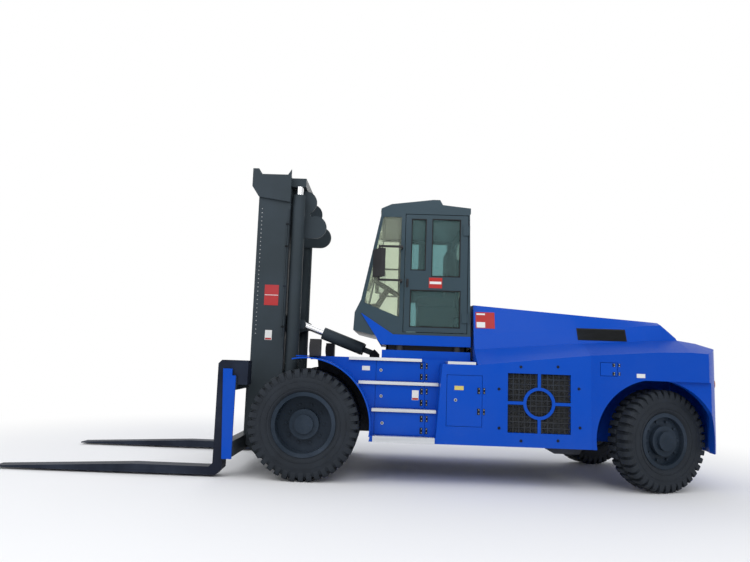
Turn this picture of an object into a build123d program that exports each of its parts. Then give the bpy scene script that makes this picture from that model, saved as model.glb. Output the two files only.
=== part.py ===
from build123d import *
import os
from math import atan2, cos, degrees, hypot, radians, sin, sqrt

# Electric heavy forklift, millimetres.
# +X points to the fork tips, +Y to the operator's left, +Z up, ground at z = 0.
# The origin lies on the ground under the middle of the whole truck.
# The left side is modelled and mirrored to the right.

# Half the width over the body; what stands beside it is placed from it
BODY_HALF_W = 1250

# Wheels and axles
FRONT_AXLE_X = 640
WHEELBASE = 3880
REAR_AXLE_X = FRONT_AXLE_X - WHEELBASE
FRONT_TYRE_R = 612.5
REAR_TYRE_R = 562.5
TYRE_W = 315
OUTER_TYRE_Y = BODY_HALF_W - 128
INNER_TYRE_Y = OUTER_TYRE_Y - 360
REAR_TYRE_Y = BODY_HALF_W - 250
SIDEWALL_DROP = 82
LUG_COUNT = 28
LUG_H = 26
LUG_FOOT = 0.32
LUG_TOP = 0.26
FRONT_RIM_R = 335
REAR_RIM_R = 285
RIM_HALF_W = 128
RIM_WALL = 22
RIM_LIP = 22
LIP_T = 14
FIT = 0.3
DISC_T = 26
FRONT_DISC_IN = 40
REAR_DISC_OUT = 62
HUB_R = 165
HUB_CAP_R = 105
FRONT_HUB_REACH = 90
REAR_HUB_REACH = 60
HUB_CAP_T = 35
NUT_COUNT = 10
NUT_CIRCLE_R = 215
NUT_R = 15
NUT_H = 22
SPINDLE_R = 70
STEER_REST_DEG = 20
KINGPIN_Y = REAR_TYRE_Y - 240
KINGPIN_R = 38
KNUCKLE_R = 95
KNUCKLE_HALF_H = 120
AXLE_EYE_GAP = 6
AXLE_EYE_H = 60
FRONT_TUBE_R = 105
FRONT_DIFF_R = 200
REAR_BEAM_W = 190
REAR_BEAM_H = 170

# Body shell
SKIRT_Z = 458
DECK_Z = 1372
DECK_T = 40
ARCH_GAP = 115
FENDER_T = 14
FENDER_FRONT_X = FRONT_AXLE_X + 160
REAR_ARCH_R = 675
REAR_ARCH_TOP_Z = 1222
TYRE_INNER_Y = INNER_TYRE_Y - TYRE_W / 2
FRAME_CLEAR = 15
FRAME_HALF_W = TYRE_INNER_Y - FRAME_CLEAR
RAIL_W = 170
BODY_FRONT_X = FRONT_AXLE_X - 1452
CHEEK_LEAN = 68
BODY_SPLIT_X = FRONT_AXLE_X - 3150
BODY_SHOULDER_X = FRONT_AXLE_X - 3900
HOOD_BASE_Y = BODY_HALF_W - 300
WALL_FRONT_Z = 1330
WALL_REAR_Z = 1535
BASE_FRONT_Z = 1506
BASE_REAR_Z = 1690

# Stairs, one row a tier from the ground up: outer side y, tread top z
STEP_TABLE = [
    (BODY_HALF_W, 520),
    (BODY_HALF_W - 110, 810),
    (BODY_HALF_W - 220, 1105),
    (BODY_HALF_W - 330, DECK_Z),
]
STAIR_REAR_X = BODY_FRONT_X
# Rear end of each tread, from the ground up
TREAD_REAR_TABLE = [-804, -821, -850, -663]
WALK_STRIP_FRONT_X = -935
TREAD_T = 30
TREAD_NOSE = 30
TREAD_PLATE_T = 4
TREAD_PLATE_W = 60
BOTTOM_TREAD_T = 62
DOOR_T = 20
DOOR_GAP = 5
LOCKER_DEPTH = 180
TIER_DOOR_FRONT_X = FRONT_AXLE_X - 780
TIER_HINGE_X = FRONT_AXLE_X - 1342
HINGE_R = 12

# Service door and charging flap in the side wall: front x, rear x, low z, high z, depth behind
SERVICE_DOOR = (FRONT_AXLE_X - 1570, FRONT_AXLE_X - 1960, 660, 1210, 160)
CHARGE_FLAP = (FRONT_AXLE_X - 3255, FRONT_AXLE_X - 3440, 1262, 1402, 120)
GRILLE_FRONT_X = FRONT_AXLE_X - 2238
GRILLE_REAR_X = FRONT_AXLE_X - 2928
GRILLE_LOW_Z = 609
GRILLE_HIGH_Z = 1254
GRILLE_DEPTH = 120
GRILLE_BAR = 34
GRILLE_RING_R = 175
GRILLE_SLATS = 11
GRILLE_SLAT_W = 12
GRILLE_T = 16

# Counterweight
REAR_X = -4085
CW_LOW_Z = 440
CW_RECESS = 45
CW_BOTTOM_REAR_X = FRONT_AXLE_X - 4500
TOW_Z = 900
TOW_BORE_REACH = 150
TOW_PIN_R = 25
TOW_SHAFT_R = 42
TOW_MOUTH_H = 110
TOW_MOUTH_DEPTH = 160
TOW_MOUTH_HALF_W = 120

# Cab
CAB_HALF_W = BODY_HALF_W - 400
CAB_WALL = 45
CAB_FLOOR_Z = 1640
CAB_ROOF_Z = 3125
CAB_REAR_X = FRONT_AXLE_X - 1871
CAB_NOSE_X = FRONT_AXLE_X - 490
GLASS_T = 8
CAB_DOOR_FRONT_X = FRONT_AXLE_X - 1079
CAB_DOOR_REAR_X = FRONT_AXLE_X - 1822
CAB_DOOR_LOW_Z = 1690
CAB_DOOR_HIGH_Z = 3095
CAB_DOOR_T = 40

# Mast
MAST_PIVOT_X = FRONT_AXLE_X + 200
MAST_PIVOT_Z = 450
MAST_PIN_R = 45
MAST_HALF_W = 550
MAST_REAR_X = FRONT_AXLE_X + 370
MAST_DEPTH = 400
MAST_BOTTOM_Z = 130
MAST_TOP_Z = 3450
EAR_TOP_Z = 3690
OUTER_WEB_T = 35
OUTER_FLANGE_T = 40
OUTER_FLANGE_W = 150
INNER_GAP = 10
INNER_HALF_W = 490
INNER_WEB_T = 35
INNER_FLANGE_T = 30
INNER_FLANGE_W = 130
INNER_TOP_Z = 3600
INNER_BOTTOM_Z = 180
LIFT_Y = 460
LIFT_BARREL_R = 82
LIFT_ROD_R = 50
LIFT_X = FRONT_AXLE_X + 275
LIFT_BOTTOM_Z = 600
LIFT_BARREL_TOP_Z = 3380
TILT_Y = 300
TILT_REAR_X = FRONT_AXLE_X - 740
TILT_REAR_Z = 1420
TILT_EYE_X = FRONT_AXLE_X + 190
TILT_EYE_Z = 1760
TILT_BARREL_R = 77
TILT_BARREL_START = 160
TILT_BARREL_END = 696
TILT_ROD_R = 38
TILT_PIN_R = 25
TILT_EYE_R = 58
TILT_EYE_CLEAR = 7
TILT_EYE_W = 70
TILT_LUG_T = 30

# Carriage and forks
BAR_REAR_X = FRONT_AXLE_X + 780
BAR_FRONT_X = FRONT_AXLE_X + 890
UPPER_BAR_LOW_Z = 960
UPPER_BAR_HIGH_Z = 1115
LOWER_BAR_LOW_Z = 230
LOWER_BAR_HIGH_Z = 400
BAR_HALF_W = 1160
END_PLATE_T = 25
CARRIAGE_BEAM_Y = 345
CARRIAGE_BEAM_T = 45
CARRIAGE_BEAM_REAR_X = FRONT_AXLE_X + 500
ROLLER_W = 70
ROLLER_FIT = 0.5
ROLLER_Z = [360, 1050]
FORK_Y = 1050
FORK_W = 200
FORK_T = 90
FORK_TIP_T = 16
FORK_TIP_X = 4085
FORK_BOTTOM_Z = 22
FORK_HEEL_X = FRONT_AXLE_X + 1000
FORK_TAPER_X = FORK_HEEL_X + 900
FORK_TOP_Z = 1290
HOOK_GAP = 5
HOOK_REAR_X = FRONT_AXLE_X + 662
HOOK_LIP_Z = 1020
CHAIN_Y = 200
CHAIN_W = 42
CHAIN_T = 26
SHEAVE_R = 110
SHEAVE_X = FRONT_AXLE_X + 590

os.makedirs("parts", exist_ok=True)


def save(part, label):
    part.label = label
    export_step(part, f"parts/{label}.step")


def both_sides(part, stem):
    save(part, f"{stem}_left")
    save(mirror(part, about=Plane.XZ), f"{stem}_right")


def save_pair(part, label):
    # Like pieces of both sides that stay on one body.
    other = mirror(part, about=Plane.XZ)
    with BuildPart() as pair:
        add(part)
        add(other)
    save(pair.part, label)


def side_plate(points, y_low, y_high):
    # A prism whose outline lies in the side view, between two y values.
    with BuildPart() as plate:
        with BuildSketch(Plane.XZ.offset(-y_high)):
            with BuildLine():
                Polyline(*points, close=True)
            make_face()
        extrude(amount=y_high - y_low)
    return plate.part


def block(x_low, x_high, y_low, y_high, z_low, z_high):
    with BuildPart() as solid:
        with Locations(((x_low + x_high) / 2, (y_low + y_high) / 2, (z_low + z_high) / 2)):
            Box(x_high - x_low, y_high - y_low, z_high - z_low)
    return solid.part


def rod_y(x, z, radius, y_low, y_high):
    # A round bar that lies along Y.
    with BuildPart() as bar:
        with BuildSketch(Plane.XZ.offset(-y_high)):
            with Locations((x, z)):
                Circle(radius)
        extrude(amount=y_high - y_low)
    return bar.part


def revolved_about_axle(points, axle_x, axle_z):
    # Points are (y, radius) pairs round an axle that lies along Y.
    with BuildPart() as turned:
        with BuildSketch(Plane.YZ.offset(axle_x)):
            with BuildLine():
                Polyline(*[(y, axle_z + radius) for y, radius in points], close=True)
            make_face()
        revolve(axis=Axis((axle_x, 0, axle_z), (0, 1, 0)))
    return turned.part


def lugged_tyre(axle_x, y_mid, tyre_r, rim_r):
    # Deep lugs run across the tread; the tyre sits on the rim's lips.
    half = TYRE_W / 2
    bore_r = rim_r + RIM_LIP + FIT
    groove_r = tyre_r - LUG_H
    pitch = 360 / LUG_COUNT
    # One lug: radius and angle of its corners, as shares of the pitch
    lug_r = tyre_r / cos(radians(LUG_TOP * pitch))
    lug_rows = [(groove_r, -LUG_FOOT), (lug_r, -LUG_TOP), (lug_r, LUG_TOP), (groove_r, LUG_FOOT)]
    outline = []
    for number in range(LUG_COUNT):
        for radius, share in lug_rows:
            turn = radians((number + share) * pitch - 90)
            outline.append((axle_x + radius * cos(turn), tyre_r + radius * sin(turn)))
    with BuildPart() as tyre:
        with BuildSketch(Plane.XZ.offset(-(y_mid + half))):
            with BuildLine():
                Polyline(*outline, close=True)
            make_face()
            with Locations((axle_x, tyre_r)):
                Circle(bore_r, mode=Mode.SUBTRACT)
        extrude(amount=TYRE_W)
        for side in (-1, 1):
            # The sidewall falls away from the tread to the rim's lip.
            sidewall_cut = [
                (y_mid + side * RIM_HALF_W, bore_r - 1),
                (y_mid + side * (half + 1), bore_r + SIDEWALL_DROP),
                (y_mid + side * (half + 1), bore_r - 1),
            ]
            add(revolved_about_axle(sidewall_cut, axle_x, tyre_r), mode=Mode.SUBTRACT)
    return tyre.part


def rim_ring(axle_x, y_mid, tyre_r, rim_r):
    inner = rim_r - RIM_WALL
    lip = rim_r + RIM_LIP
    points = [
        (y_mid - RIM_HALF_W, inner),
        (y_mid - RIM_HALF_W, lip),
        (y_mid - RIM_HALF_W + LIP_T, lip),
        (y_mid - RIM_HALF_W + LIP_T, rim_r),
        (y_mid + RIM_HALF_W - LIP_T, rim_r),
        (y_mid + RIM_HALF_W - LIP_T, lip),
        (y_mid + RIM_HALF_W, lip),
        (y_mid + RIM_HALF_W, inner),
    ]
    return revolved_about_axle(points, axle_x, tyre_r)


def wheel_centre(axle_x, tyre_r, rim_r, disc_ys, hub_in, hub_out, cap_out, bore_in):
    # Wheel discs, the hub that joins them, its cap, the wheel nuts and the spindle's bore.
    face_y = disc_ys[0]
    with BuildPart() as centre:
        for disc_y in disc_ys:
            add(rod_y(axle_x, tyre_r, rim_r - RIM_WALL / 2, disc_y - DISC_T, disc_y))
        add(rod_y(axle_x, tyre_r, HUB_R, hub_in, hub_out))
        add(rod_y(axle_x, tyre_r, HUB_CAP_R, hub_out, cap_out))
        with BuildSketch(Plane.XZ.offset(-face_y)):
            with Locations((axle_x, tyre_r)):
                with PolarLocations(NUT_CIRCLE_R, NUT_COUNT):
                    RegularPolygon(NUT_R, 6)
        extrude(amount=-NUT_H)
        add(rod_y(axle_x, tyre_r, SPINDLE_R + FIT, bore_in, hub_out - DISC_T), mode=Mode.SUBTRACT)
    return centre.part


front_discs = [OUTER_TYRE_Y - FRONT_DISC_IN, INNER_TYRE_Y]
FRONT_HUB_OUT = front_discs[0] + FRONT_HUB_REACH
FRONT_HUB_IN = INNER_TYRE_Y - RIM_HALF_W
with BuildPart() as front_tyres:
    add(lugged_tyre(FRONT_AXLE_X, OUTER_TYRE_Y, FRONT_TYRE_R, FRONT_RIM_R))
    add(lugged_tyre(FRONT_AXLE_X, INNER_TYRE_Y, FRONT_TYRE_R, FRONT_RIM_R))
both_sides(front_tyres.part, "front_tyres")

front_centre = wheel_centre(
    FRONT_AXLE_X, FRONT_TYRE_R, FRONT_RIM_R, front_discs,
    FRONT_HUB_IN, FRONT_HUB_OUT, FRONT_HUB_OUT + HUB_CAP_T, FRONT_HUB_IN,
)
with BuildPart() as front_rims:
    add(rim_ring(FRONT_AXLE_X, OUTER_TYRE_Y, FRONT_TYRE_R, FRONT_RIM_R))
    add(rim_ring(FRONT_AXLE_X, INNER_TYRE_Y, FRONT_TYRE_R, FRONT_RIM_R))
    add(front_centre)
both_sides(front_rims.part, "front_rims")

# The rear wheels stand turned by the steering angle at which the truck is parked.
rear_face_y = REAR_TYRE_Y + REAR_DISC_OUT
REAR_HUB_OUT = rear_face_y + REAR_HUB_REACH
REAR_HUB_IN = REAR_TYRE_Y - RIM_HALF_W
kingpins = {
    "left": Axis((REAR_AXLE_X, KINGPIN_Y, 0), (0, 0, 1)),
    "right": Axis((REAR_AXLE_X, -KINGPIN_Y, 0), (0, 0, 1)),
}
rear_tyre = lugged_tyre(REAR_AXLE_X, REAR_TYRE_Y, REAR_TYRE_R, REAR_RIM_R)
rear_centre = wheel_centre(
    REAR_AXLE_X, REAR_TYRE_R, REAR_RIM_R, [rear_face_y],
    REAR_HUB_IN, REAR_HUB_OUT, REAR_HUB_OUT + HUB_CAP_T, REAR_HUB_IN,
)
with BuildPart() as rear_rim:
    add(rim_ring(REAR_AXLE_X, REAR_TYRE_Y, REAR_TYRE_R, REAR_RIM_R))
    add(rear_centre)

# A knuckle is a kingpin block with the stub that the rear hub turns on.
with BuildPart() as knuckle:
    with BuildSketch(Plane.XY.offset(REAR_TYRE_R - KNUCKLE_HALF_H)):
        with Locations((REAR_AXLE_X, KINGPIN_Y)):
            Circle(KNUCKLE_R)
    extrude(amount=2 * KNUCKLE_HALF_H)
    with BuildSketch(Plane.XY.offset(REAR_TYRE_R - KNUCKLE_HALF_H - AXLE_EYE_GAP - AXLE_EYE_H)):
        with Locations((REAR_AXLE_X, KINGPIN_Y)):
            Circle(KINGPIN_R)
    extrude(amount=2 * (KNUCKLE_HALF_H + AXLE_EYE_GAP + AXLE_EYE_H))
    add(rod_y(REAR_AXLE_X, REAR_TYRE_R, SPINDLE_R, KINGPIN_Y, REAR_HUB_OUT - 2 * DISC_T))

steered = [("rear_tyre", rear_tyre), ("rear_rim", rear_rim.part), ("knuckle", knuckle.part)]
for stem, straight in steered:
    save(straight.rotate(kingpins["left"], STEER_REST_DEG), f"{stem}_left")
    other = mirror(straight, about=Plane.XZ)
    save(other.rotate(kingpins["right"], STEER_REST_DEG), f"{stem}_right")

# The drive axle: a tube with the differential in its middle and a stub into each hub.
with BuildPart() as front_axle:
    add(rod_y(FRONT_AXLE_X, FRONT_TYRE_R, FRONT_TUBE_R, -FRAME_HALF_W, FRAME_HALF_W))
    add(rod_y(FRONT_AXLE_X, FRONT_TYRE_R, SPINDLE_R, -(FRONT_HUB_OUT - 2 * DISC_T), FRONT_HUB_OUT - 2 * DISC_T))
    with Locations((FRONT_AXLE_X, 0, FRONT_TYRE_R)):
        Sphere(FRONT_DIFF_R)
save(front_axle.part, "front_axle")

# The steer axle: a beam with a forked end round each knuckle.
with BuildPart() as rear_axle:
    with Locations((REAR_AXLE_X, 0, REAR_TYRE_R)):
        Box(REAR_BEAM_W, 2 * (KINGPIN_Y - KNUCKLE_R - FRAME_CLEAR), REAR_BEAM_H)
    for level in (-1, 1):
        mid = KNUCKLE_HALF_H + AXLE_EYE_GAP + AXLE_EYE_H / 2
        with Locations((REAR_AXLE_X, 0, REAR_TYRE_R + level * mid)):
            Box(REAR_BEAM_W, 2 * KINGPIN_Y, AXLE_EYE_H)
        with Locations((REAR_AXLE_X, 0, REAR_TYRE_R + level * mid / 2)):
            Box(REAR_BEAM_W, KINGPIN_Y, mid)
        for side in (-1, 1):
            with Locations((REAR_AXLE_X, side * KINGPIN_Y, REAR_TYRE_R + level * mid)):
                Cylinder(REAR_BEAM_W / 2, AXLE_EYE_H)
                Cylinder(KINGPIN_R + FIT, AXLE_EYE_H, mode=Mode.SUBTRACT)
save(rear_axle.part, "rear_axle")

# The outer mast: two channels open to the inside, tied at the rear and hung on two foot lugs.
MAST_FRONT_X = MAST_REAR_X + MAST_DEPTH
WEB_Y = MAST_HALF_W - OUTER_WEB_T
FLANGE_Y = MAST_HALF_W - OUTER_FLANGE_W
FOOT_R = 95
FOOT_CHAMFER = 170
EAR_T = 25
EAR_FRONT_X = MAST_FRONT_X + 88
EAR_NECK_Z = 3330
EAR_NOTCH_X = MAST_REAR_X + 45
EAR_NOTCH_Z = EAR_TOP_Z - 70
TIE_T = OUTER_FLANGE_T
# Rear ties of the outer mast: low z, high z
OUTER_TIES = [(1560, 1960), (2560, 2760), (3290, 3450)]
LOBE_T = 30
LOBE_Y = 340
LOBE_HIGH = (FRONT_AXLE_X + 205, 3320, 145)
LOBE_LOW = (FRONT_AXLE_X + 70, 3000, 145)
LOBE_SEAT_T = 8

channel_outline = [
    (MAST_REAR_X, MAST_BOTTOM_Z),
    (MAST_FRONT_X - FOOT_CHAMFER, MAST_BOTTOM_Z),
    (MAST_FRONT_X, MAST_BOTTOM_Z + FOOT_CHAMFER),
    (MAST_FRONT_X, MAST_TOP_Z),
    (MAST_REAR_X, MAST_TOP_Z),
]
channel_space = block(
    MAST_REAR_X + OUTER_FLANGE_T, MAST_FRONT_X - OUTER_FLANGE_T, 0, WEB_Y,
    MAST_BOTTOM_Z + OUTER_FLANGE_T, MAST_TOP_Z,
)
with BuildPart() as outer_channel:
    add(side_plate(channel_outline, FLANGE_Y, MAST_HALF_W))
    add(channel_space, mode=Mode.SUBTRACT)

ear_outline = [
    (MAST_REAR_X, EAR_NECK_Z - 60),
    (MAST_FRONT_X, EAR_NECK_Z),
    (EAR_FRONT_X, EAR_NECK_Z + 130),
    (EAR_FRONT_X, EAR_TOP_Z),
    (EAR_FRONT_X - 75, EAR_TOP_Z),
    (EAR_FRONT_X - 120, EAR_NOTCH_Z),
    (EAR_NOTCH_X, EAR_NOTCH_Z),
    (MAST_REAR_X, EAR_TOP_Z),
]
EAR_IN_Y = MAST_HALF_W + INNER_GAP
ear_plate = side_plate(ear_outline, EAR_IN_Y, EAR_IN_Y + EAR_T)

foot_outline = [
    (MAST_PIVOT_X, MAST_PIVOT_Z - FOOT_R),
    (MAST_REAR_X + OUTER_FLANGE_T, MAST_PIVOT_Z - FOOT_R),
    (MAST_REAR_X + OUTER_FLANGE_T, MAST_PIVOT_Z + FOOT_R),
    (MAST_PIVOT_X, MAST_PIVOT_Z + FOOT_R),
]
lobe_web = [
    (LOBE_HIGH[0], LOBE_HIGH[1] + LOBE_HIGH[2]),
    (MAST_REAR_X, LOBE_HIGH[1] + LOBE_HIGH[2]),
    (MAST_REAR_X, LOBE_LOW[1] - LOBE_LOW[2]),
    (LOBE_LOW[0], LOBE_LOW[1] - LOBE_LOW[2]),
]
lug_pair = [TILT_Y - TILT_EYE_W / 2 - AXLE_EYE_GAP - TILT_LUG_T, TILT_Y + TILT_EYE_W / 2 + AXLE_EYE_GAP]
with BuildPart() as mast_side:
    add(outer_channel.part)
    add(side_plate(foot_outline, FLANGE_Y, MAST_HALF_W))
    add(rod_y(MAST_PIVOT_X, MAST_PIVOT_Z, FOOT_R, FLANGE_Y, MAST_HALF_W))
    add(rod_y(MAST_PIVOT_X, MAST_PIVOT_Z, MAST_PIN_R + FIT, FLANGE_Y, MAST_HALF_W), mode=Mode.SUBTRACT)
    add(block(LIFT_X, MAST_REAR_X, LIFT_Y - LIFT_ROD_R, LIFT_Y + LIFT_ROD_R, LIFT_BOTTOM_Z - 60, LIFT_BOTTOM_Z))
    with BuildSketch(Plane.XY.offset(LIFT_BOTTOM_Z - 60)):
        with Locations((LIFT_X, LIFT_Y)):
            Circle(LIFT_BARREL_R)
    extrude(amount=60)
    add(side_plate(lobe_web, LOBE_Y, LOBE_Y + LOBE_T))
    for lobe_x, lobe_z, lobe_r in (LOBE_HIGH, LOBE_LOW):
        add(rod_y(lobe_x, lobe_z, lobe_r, LOBE_Y, LOBE_Y + LOBE_T))
    add(block(
        MAST_REAR_X - LOBE_SEAT_T, MAST_REAR_X, LOBE_Y, FLANGE_Y + 30, LOBE_LOW[1] - 100, LOBE_HIGH[1] + 100,
    ))
    for lug_y in lug_pair:
        lug = [
            (TILT_EYE_X, TILT_EYE_Z - TILT_EYE_R),
            (MAST_REAR_X, TILT_EYE_Z - 2 * TILT_EYE_R),
            (MAST_REAR_X, TILT_EYE_Z + 2 * TILT_EYE_R),
            (TILT_EYE_X, TILT_EYE_Z + TILT_EYE_R),
        ]
        add(side_plate(lug, lug_y, lug_y + TILT_LUG_T))
        add(rod_y(TILT_EYE_X, TILT_EYE_Z, TILT_EYE_R, lug_y, lug_y + TILT_LUG_T))
    add(rod_y(TILT_EYE_X, TILT_EYE_Z, TILT_PIN_R, lug_pair[0], lug_pair[1] + TILT_LUG_T))
other_mast_side = mirror(mast_side.part, about=Plane.XZ)
with BuildPart() as outer_mast:
    add(mast_side.part)
    add(other_mast_side)
    for tie_low, tie_high in OUTER_TIES:
        add(block(MAST_REAR_X, MAST_REAR_X + TIE_T, -FLANGE_Y - 5, FLANGE_Y + 5, tie_low, tie_high))
save(outer_mast.part, "outer_mast")

# The inner mast slides in the outer channels and carries the crosshead with the chain sheaves.
INNER_REAR_X = MAST_REAR_X + OUTER_FLANGE_T + INNER_GAP
INNER_FRONT_X = MAST_FRONT_X - OUTER_FLANGE_T - INNER_GAP
INNER_WEB_Y = INNER_HALF_W - INNER_WEB_T
INNER_FLANGE_Y = INNER_HALF_W - INNER_FLANGE_W
CROSSHEAD_LOW_Z = MAST_TOP_Z + 40
CROSSHEAD_REAR_X = LIFT_X - LIFT_BARREL_R
SHEAVE_Z = CROSSHEAD_LOW_Z - SHEAVE_R - CHAIN_T - 15
SHEAVE_W = 60
SHEAVE_PIN_R = 30
HANGER_T = 22
HANGER_R = 60
GUIDE_PAD_H = 260
# Rear ties of the inner mast: low z, high z
INNER_TIES = [(INNER_BOTTOM_Z + 40, 330), (1250, 1430), (2300, 2480)]
inner_blank = block(INNER_REAR_X, INNER_FRONT_X, INNER_FLANGE_Y, INNER_HALF_W, INNER_BOTTOM_Z + 40, INNER_TOP_Z)
inner_space = block(
    INNER_REAR_X + INNER_FLANGE_T, INNER_FRONT_X - INNER_FLANGE_T, 0, INNER_WEB_Y,
    INNER_BOTTOM_Z, CROSSHEAD_LOW_Z,
)
with BuildPart() as inner_side:
    add(inner_blank)
    add(inner_space, mode=Mode.SUBTRACT)
    for pad_z in (INNER_BOTTOM_Z + 240, INNER_BOTTOM_Z + 1600):
        add(block(
            INNER_REAR_X + INNER_FLANGE_T, INNER_FRONT_X - INNER_FLANGE_T,
            INNER_HALF_W, WEB_Y - FIT, pad_z, pad_z + GUIDE_PAD_H,
        ))
    for hanger_y in (CHAIN_Y - SHEAVE_W / 2 - 6 - HANGER_T, CHAIN_Y + SHEAVE_W / 2 + 6):
        add(block(
            SHEAVE_X - HANGER_R, SHEAVE_X + HANGER_R, hanger_y, hanger_y + HANGER_T, SHEAVE_Z, CROSSHEAD_LOW_Z,
        ))
        add(rod_y(SHEAVE_X, SHEAVE_Z, HANGER_R, hanger_y, hanger_y + HANGER_T))
    add(rod_y(
        SHEAVE_X, SHEAVE_Z, SHEAVE_PIN_R,
        CHAIN_Y - SHEAVE_W / 2 - 6 - HANGER_T, CHAIN_Y + SHEAVE_W / 2 + 6 + HANGER_T,
    ))
other_inner_side = mirror(inner_side.part, about=Plane.XZ)
other_ear_plate = mirror(ear_plate, about=Plane.XZ)
with BuildPart() as inner_mast:
    add(inner_side.part)
    add(other_inner_side)
    add(ear_plate)
    add(other_ear_plate)
    add(block(MAST_REAR_X, INNER_FRONT_X, -EAR_IN_Y - 1, EAR_IN_Y + 1, CROSSHEAD_LOW_Z, INNER_TOP_Z))
    add(block(
        CROSSHEAD_REAR_X, INNER_FRONT_X, -INNER_HALF_W, INNER_HALF_W, CROSSHEAD_LOW_Z, INNER_TOP_Z,
    ))
    for tie_low, tie_high in INNER_TIES:
        add(block(
            INNER_REAR_X, INNER_REAR_X + INNER_FLANGE_T, -INNER_FLANGE_Y - 5, INNER_FLANGE_Y + 5,
            tie_low, tie_high,
        ))
save(inner_mast.part, "inner_mast")

# Lift cylinders stand on the outer mast, their rods push the crosshead up.
LIFT_BARREL_BORE_R = LIFT_ROD_R + FIT
with BuildPart() as lift_barrels:
    with BuildSketch(Plane.XY.offset(LIFT_BOTTOM_Z)):
        with Locations((LIFT_X, LIFT_Y), (LIFT_X, -LIFT_Y)):
            Circle(LIFT_BARREL_R)
    extrude(amount=LIFT_BARREL_TOP_Z - LIFT_BOTTOM_Z)
    with BuildSketch(Plane.XY.offset(LIFT_BARREL_TOP_Z)):
        with Locations((LIFT_X, LIFT_Y), (LIFT_X, -LIFT_Y)):
            Circle(LIFT_BARREL_BORE_R)
    extrude(amount=-(LIFT_BARREL_TOP_Z - LIFT_BOTTOM_Z - DISC_T), mode=Mode.SUBTRACT)
save(lift_barrels.part, "lift_barrels")

with BuildPart() as lift_rods:
    with BuildSketch(Plane.XY.offset(LIFT_BOTTOM_Z + 2 * DISC_T)):
        with Locations((LIFT_X, LIFT_Y), (LIFT_X, -LIFT_Y)):
            Circle(LIFT_ROD_R)
    extrude(amount=CROSSHEAD_LOW_Z - LIFT_BOTTOM_Z - 2 * DISC_T)
save(lift_rods.part, "lift_rods")

# Sheaves turn on the pins under the crosshead, and a leaf chain runs over each.
CHAIN_FRONT_LOW_Z = UPPER_BAR_HIGH_Z - 40
CHAIN_REAR_LOW_Z = 2820
with BuildPart() as sheave:
    with BuildSketch(Plane.XZ.offset(-(CHAIN_Y + SHEAVE_W / 2))):
        with Locations((SHEAVE_X, SHEAVE_Z)):
            Circle(SHEAVE_R)
            Circle(SHEAVE_PIN_R + FIT, mode=Mode.SUBTRACT)
    extrude(amount=SHEAVE_W)
with BuildPart() as sheaves:
    add(sheave.part)
    add(mirror(sheave.part, about=Plane.XZ, mode=Mode.PRIVATE))

CHAIN_IN = SHEAVE_R + FIT
CHAIN_OUT = CHAIN_IN + CHAIN_T
with BuildPart() as chain:
    with BuildSketch(Plane.XZ.offset(-(CHAIN_Y + CHAIN_W / 2))):
        with Locations((SHEAVE_X, SHEAVE_Z)):
            Circle(CHAIN_OUT)
            Circle(CHAIN_IN, mode=Mode.SUBTRACT)
            Rectangle(2 * CHAIN_OUT, CHAIN_OUT, align=(Align.CENTER, Align.MAX), mode=Mode.SUBTRACT)
        with Locations((SHEAVE_X + CHAIN_IN, CHAIN_FRONT_LOW_Z)):
            Rectangle(CHAIN_T, SHEAVE_Z - CHAIN_FRONT_LOW_Z, align=(Align.MIN, Align.MIN))
        with Locations((SHEAVE_X - CHAIN_OUT, CHAIN_REAR_LOW_Z)):
            Rectangle(CHAIN_T, SHEAVE_Z - CHAIN_REAR_LOW_Z, align=(Align.MIN, Align.MIN))
    extrude(amount=CHAIN_W)
with BuildPart() as chains:
    add(chain.part)
    add(mirror(chain.part, about=Plane.XZ, mode=Mode.PRIVATE))
    add(sheaves.part)
save(chains.part, "lift_chains")

# The carriage: two cross bars on two roller beams that run inside the inner mast.
ROLLER_R = (INNER_FRONT_X - INNER_REAR_X) / 2 - INNER_FLANGE_T - ROLLER_FIT
ROLLER_X = (INNER_FRONT_X + INNER_REAR_X) / 2
ROLLER_PIN_R = 40
ANCHOR_T = 30
BEAM_IN_Y = CARRIAGE_BEAM_Y - CARRIAGE_BEAM_T
roller_in = INNER_FLANGE_Y + INNER_GAP
with BuildPart() as carriage_half:
    add(block(
        CARRIAGE_BEAM_REAR_X, BAR_REAR_X, BEAM_IN_Y, CARRIAGE_BEAM_Y, LOWER_BAR_LOW_Z, UPPER_BAR_HIGH_Z,
    ))
    add(block(BAR_REAR_X, BAR_FRONT_X, 0, BAR_HALF_W, LOWER_BAR_LOW_Z, LOWER_BAR_HIGH_Z))
    add(block(BAR_REAR_X, BAR_FRONT_X, 0, BAR_HALF_W, UPPER_BAR_LOW_Z, UPPER_BAR_HIGH_Z))
    add(block(
        BAR_REAR_X, BAR_FRONT_X - 60, BEAM_IN_Y - 60, CARRIAGE_BEAM_Y + 60, LOWER_BAR_LOW_Z, UPPER_BAR_HIGH_Z,
    ))
    for roller_z in ROLLER_Z:
        add(rod_y(ROLLER_X, roller_z, ROLLER_PIN_R, CARRIAGE_BEAM_Y, roller_in + ROLLER_W))
        add(rod_y(ROLLER_X, roller_z, ROLLER_R, roller_in, roller_in + ROLLER_W))
    add(block(
        SHEAVE_X + CHAIN_IN, BAR_REAR_X, CHAIN_Y + CHAIN_W / 2 + HOOK_GAP,
        CHAIN_Y + CHAIN_W / 2 + HOOK_GAP + ANCHOR_T, CHAIN_FRONT_LOW_Z - 60, UPPER_BAR_HIGH_Z,
    ))
with BuildPart() as carriage:
    add(carriage_half.part)
    add(mirror(carriage_half.part, about=Plane.XZ, mode=Mode.PRIVATE))
save(carriage.part, "carriage")

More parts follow.
